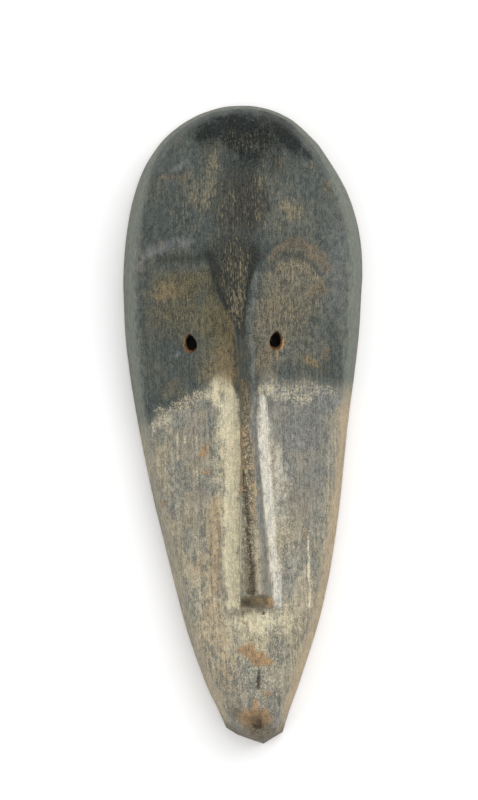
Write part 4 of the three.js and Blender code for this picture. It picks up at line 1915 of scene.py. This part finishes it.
        Patch(0.5, -92, 3.2, 1.8, 0.75, softness=0.9, ragged=0.6),
        Patch(0.6, -92.8, 2.2, 0.8, 1.1, ragged=0.5),
        Patch(1, -91, 1.1, 0.8, 0.9, ragged=0.5),
        Patch(-5.4, -88, 2.6, 2.2, 0.4, softness=0.9),
        Patch(3.2, -57.8, 0.5, 0.4, softness=0.4, ragged=0.2),
        Patch(0.6, -66.2, 0.6, 0.5, 0.9),
    ),
}


@dataclass(frozen=True)
class Lamp:
    """A square lamp that faces the mask, with its place and size in metres and its power in watts."""

    name: str
    place: tuple[float, float, float]
    size: float
    power: float

    def hang(self) -> None:
        """Puts the lamp into the scene."""
        light = bpy.data.lights.new(self.name, "AREA")
        light.size = self.size
        light.energy = self.power
        held = bpy.data.objects.new(self.name, light)
        held.location = self.place
        held.rotation_euler = (-Vector(self.place)).to_track_quat("-Z", "Y").to_euler()
        bpy.context.collection.objects.link(held)


@dataclass(frozen=True)
class Studio:
    """A pale floor, soft light, and a camera that looks straight down on the mask.

    The floor and the camera's height are in metres, and the camera's place is in millimetres.
    """

    floor_size: float = 4.0
    floor_drop: float = 0.0002
    floor_tone: float = 0.95
    floor_rough: float = 0.9
    sky: float = 0.84
    lamps: tuple[Lamp, ...] = (
        Lamp("key", (0.45, 0.5, 1.0), 0.9, 6.8),
        Lamp("fill", (-0.5, -0.1, 1.0), 0.9, 1.6),
    )
    camera_height: float = 1.0
    camera_place: tuple[float, float] = (-2.28, 7.871)
    camera_turn: float = -1.6
    lens: float = 143.3

    def floor(self) -> None:
        """Lays the floor."""
        bpy.ops.mesh.primitive_plane_add(size=self.floor_size, location=(0, 0, -self.floor_drop))
        floor = bpy.context.object
        floor.name = "floor"
        made = bpy.data.materials.new("pale_floor")
        made.use_nodes = True
        shader = made.node_tree.nodes["Principled BSDF"]
        shader.inputs["Base Color"].default_value = (*[self.floor_tone] * 3, 1)
        shader.inputs["Roughness"].default_value = self.floor_rough
        floor.data.materials.append(made)

    def light(self) -> None:
        """Lights the mask softly from above its crown, with fill from all round."""
        world = bpy.data.worlds.new("studio")
        world.use_nodes = True
        back = world.node_tree.nodes["Background"]
        back.inputs["Color"].default_value = (1, 1, 1, 1)
        back.inputs["Strength"].default_value = self.sky
        bpy.context.scene.world = world
        for lamp in self.lamps:
            lamp.hang()

    def camera(self) -> None:
        """Sets the camera over the mask, turned as the photograph is."""
        lens = bpy.data.cameras.new("camera")
        lens.lens = self.lens
        held = bpy.data.objects.new("camera", lens)
        x, y = self.camera_place
        held.location = (x * MM, y * MM, self.camera_height)
        held.rotation_euler = (0, 0, math.radians(self.camera_turn))
        bpy.context.collection.objects.link(held)
        scene = bpy.context.scene
        scene.camera = held
        scene.view_settings.view_transform = "Standard"


def main() -> None:
    """Builds the studio and the mask."""
    logging.basicConfig(level=logging.INFO, format="%(message)s")
    studio = Studio()
    studio.camera()
    studio.floor()
    studio.light()
    mask = CarvedMask(marks=MARKS)
    piece = bpy.data.objects.new("mask_visual", mask.make_mesh())
    bpy.context.collection.objects.link(piece)
    KnifeWork().carve(piece, MaskFinish().material())
    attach(piece, "root")
    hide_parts("mask")
    log.info("%s: %d faces", piece.name, len(piece.data.polygons))


if __name__ == "__main__":
    main()
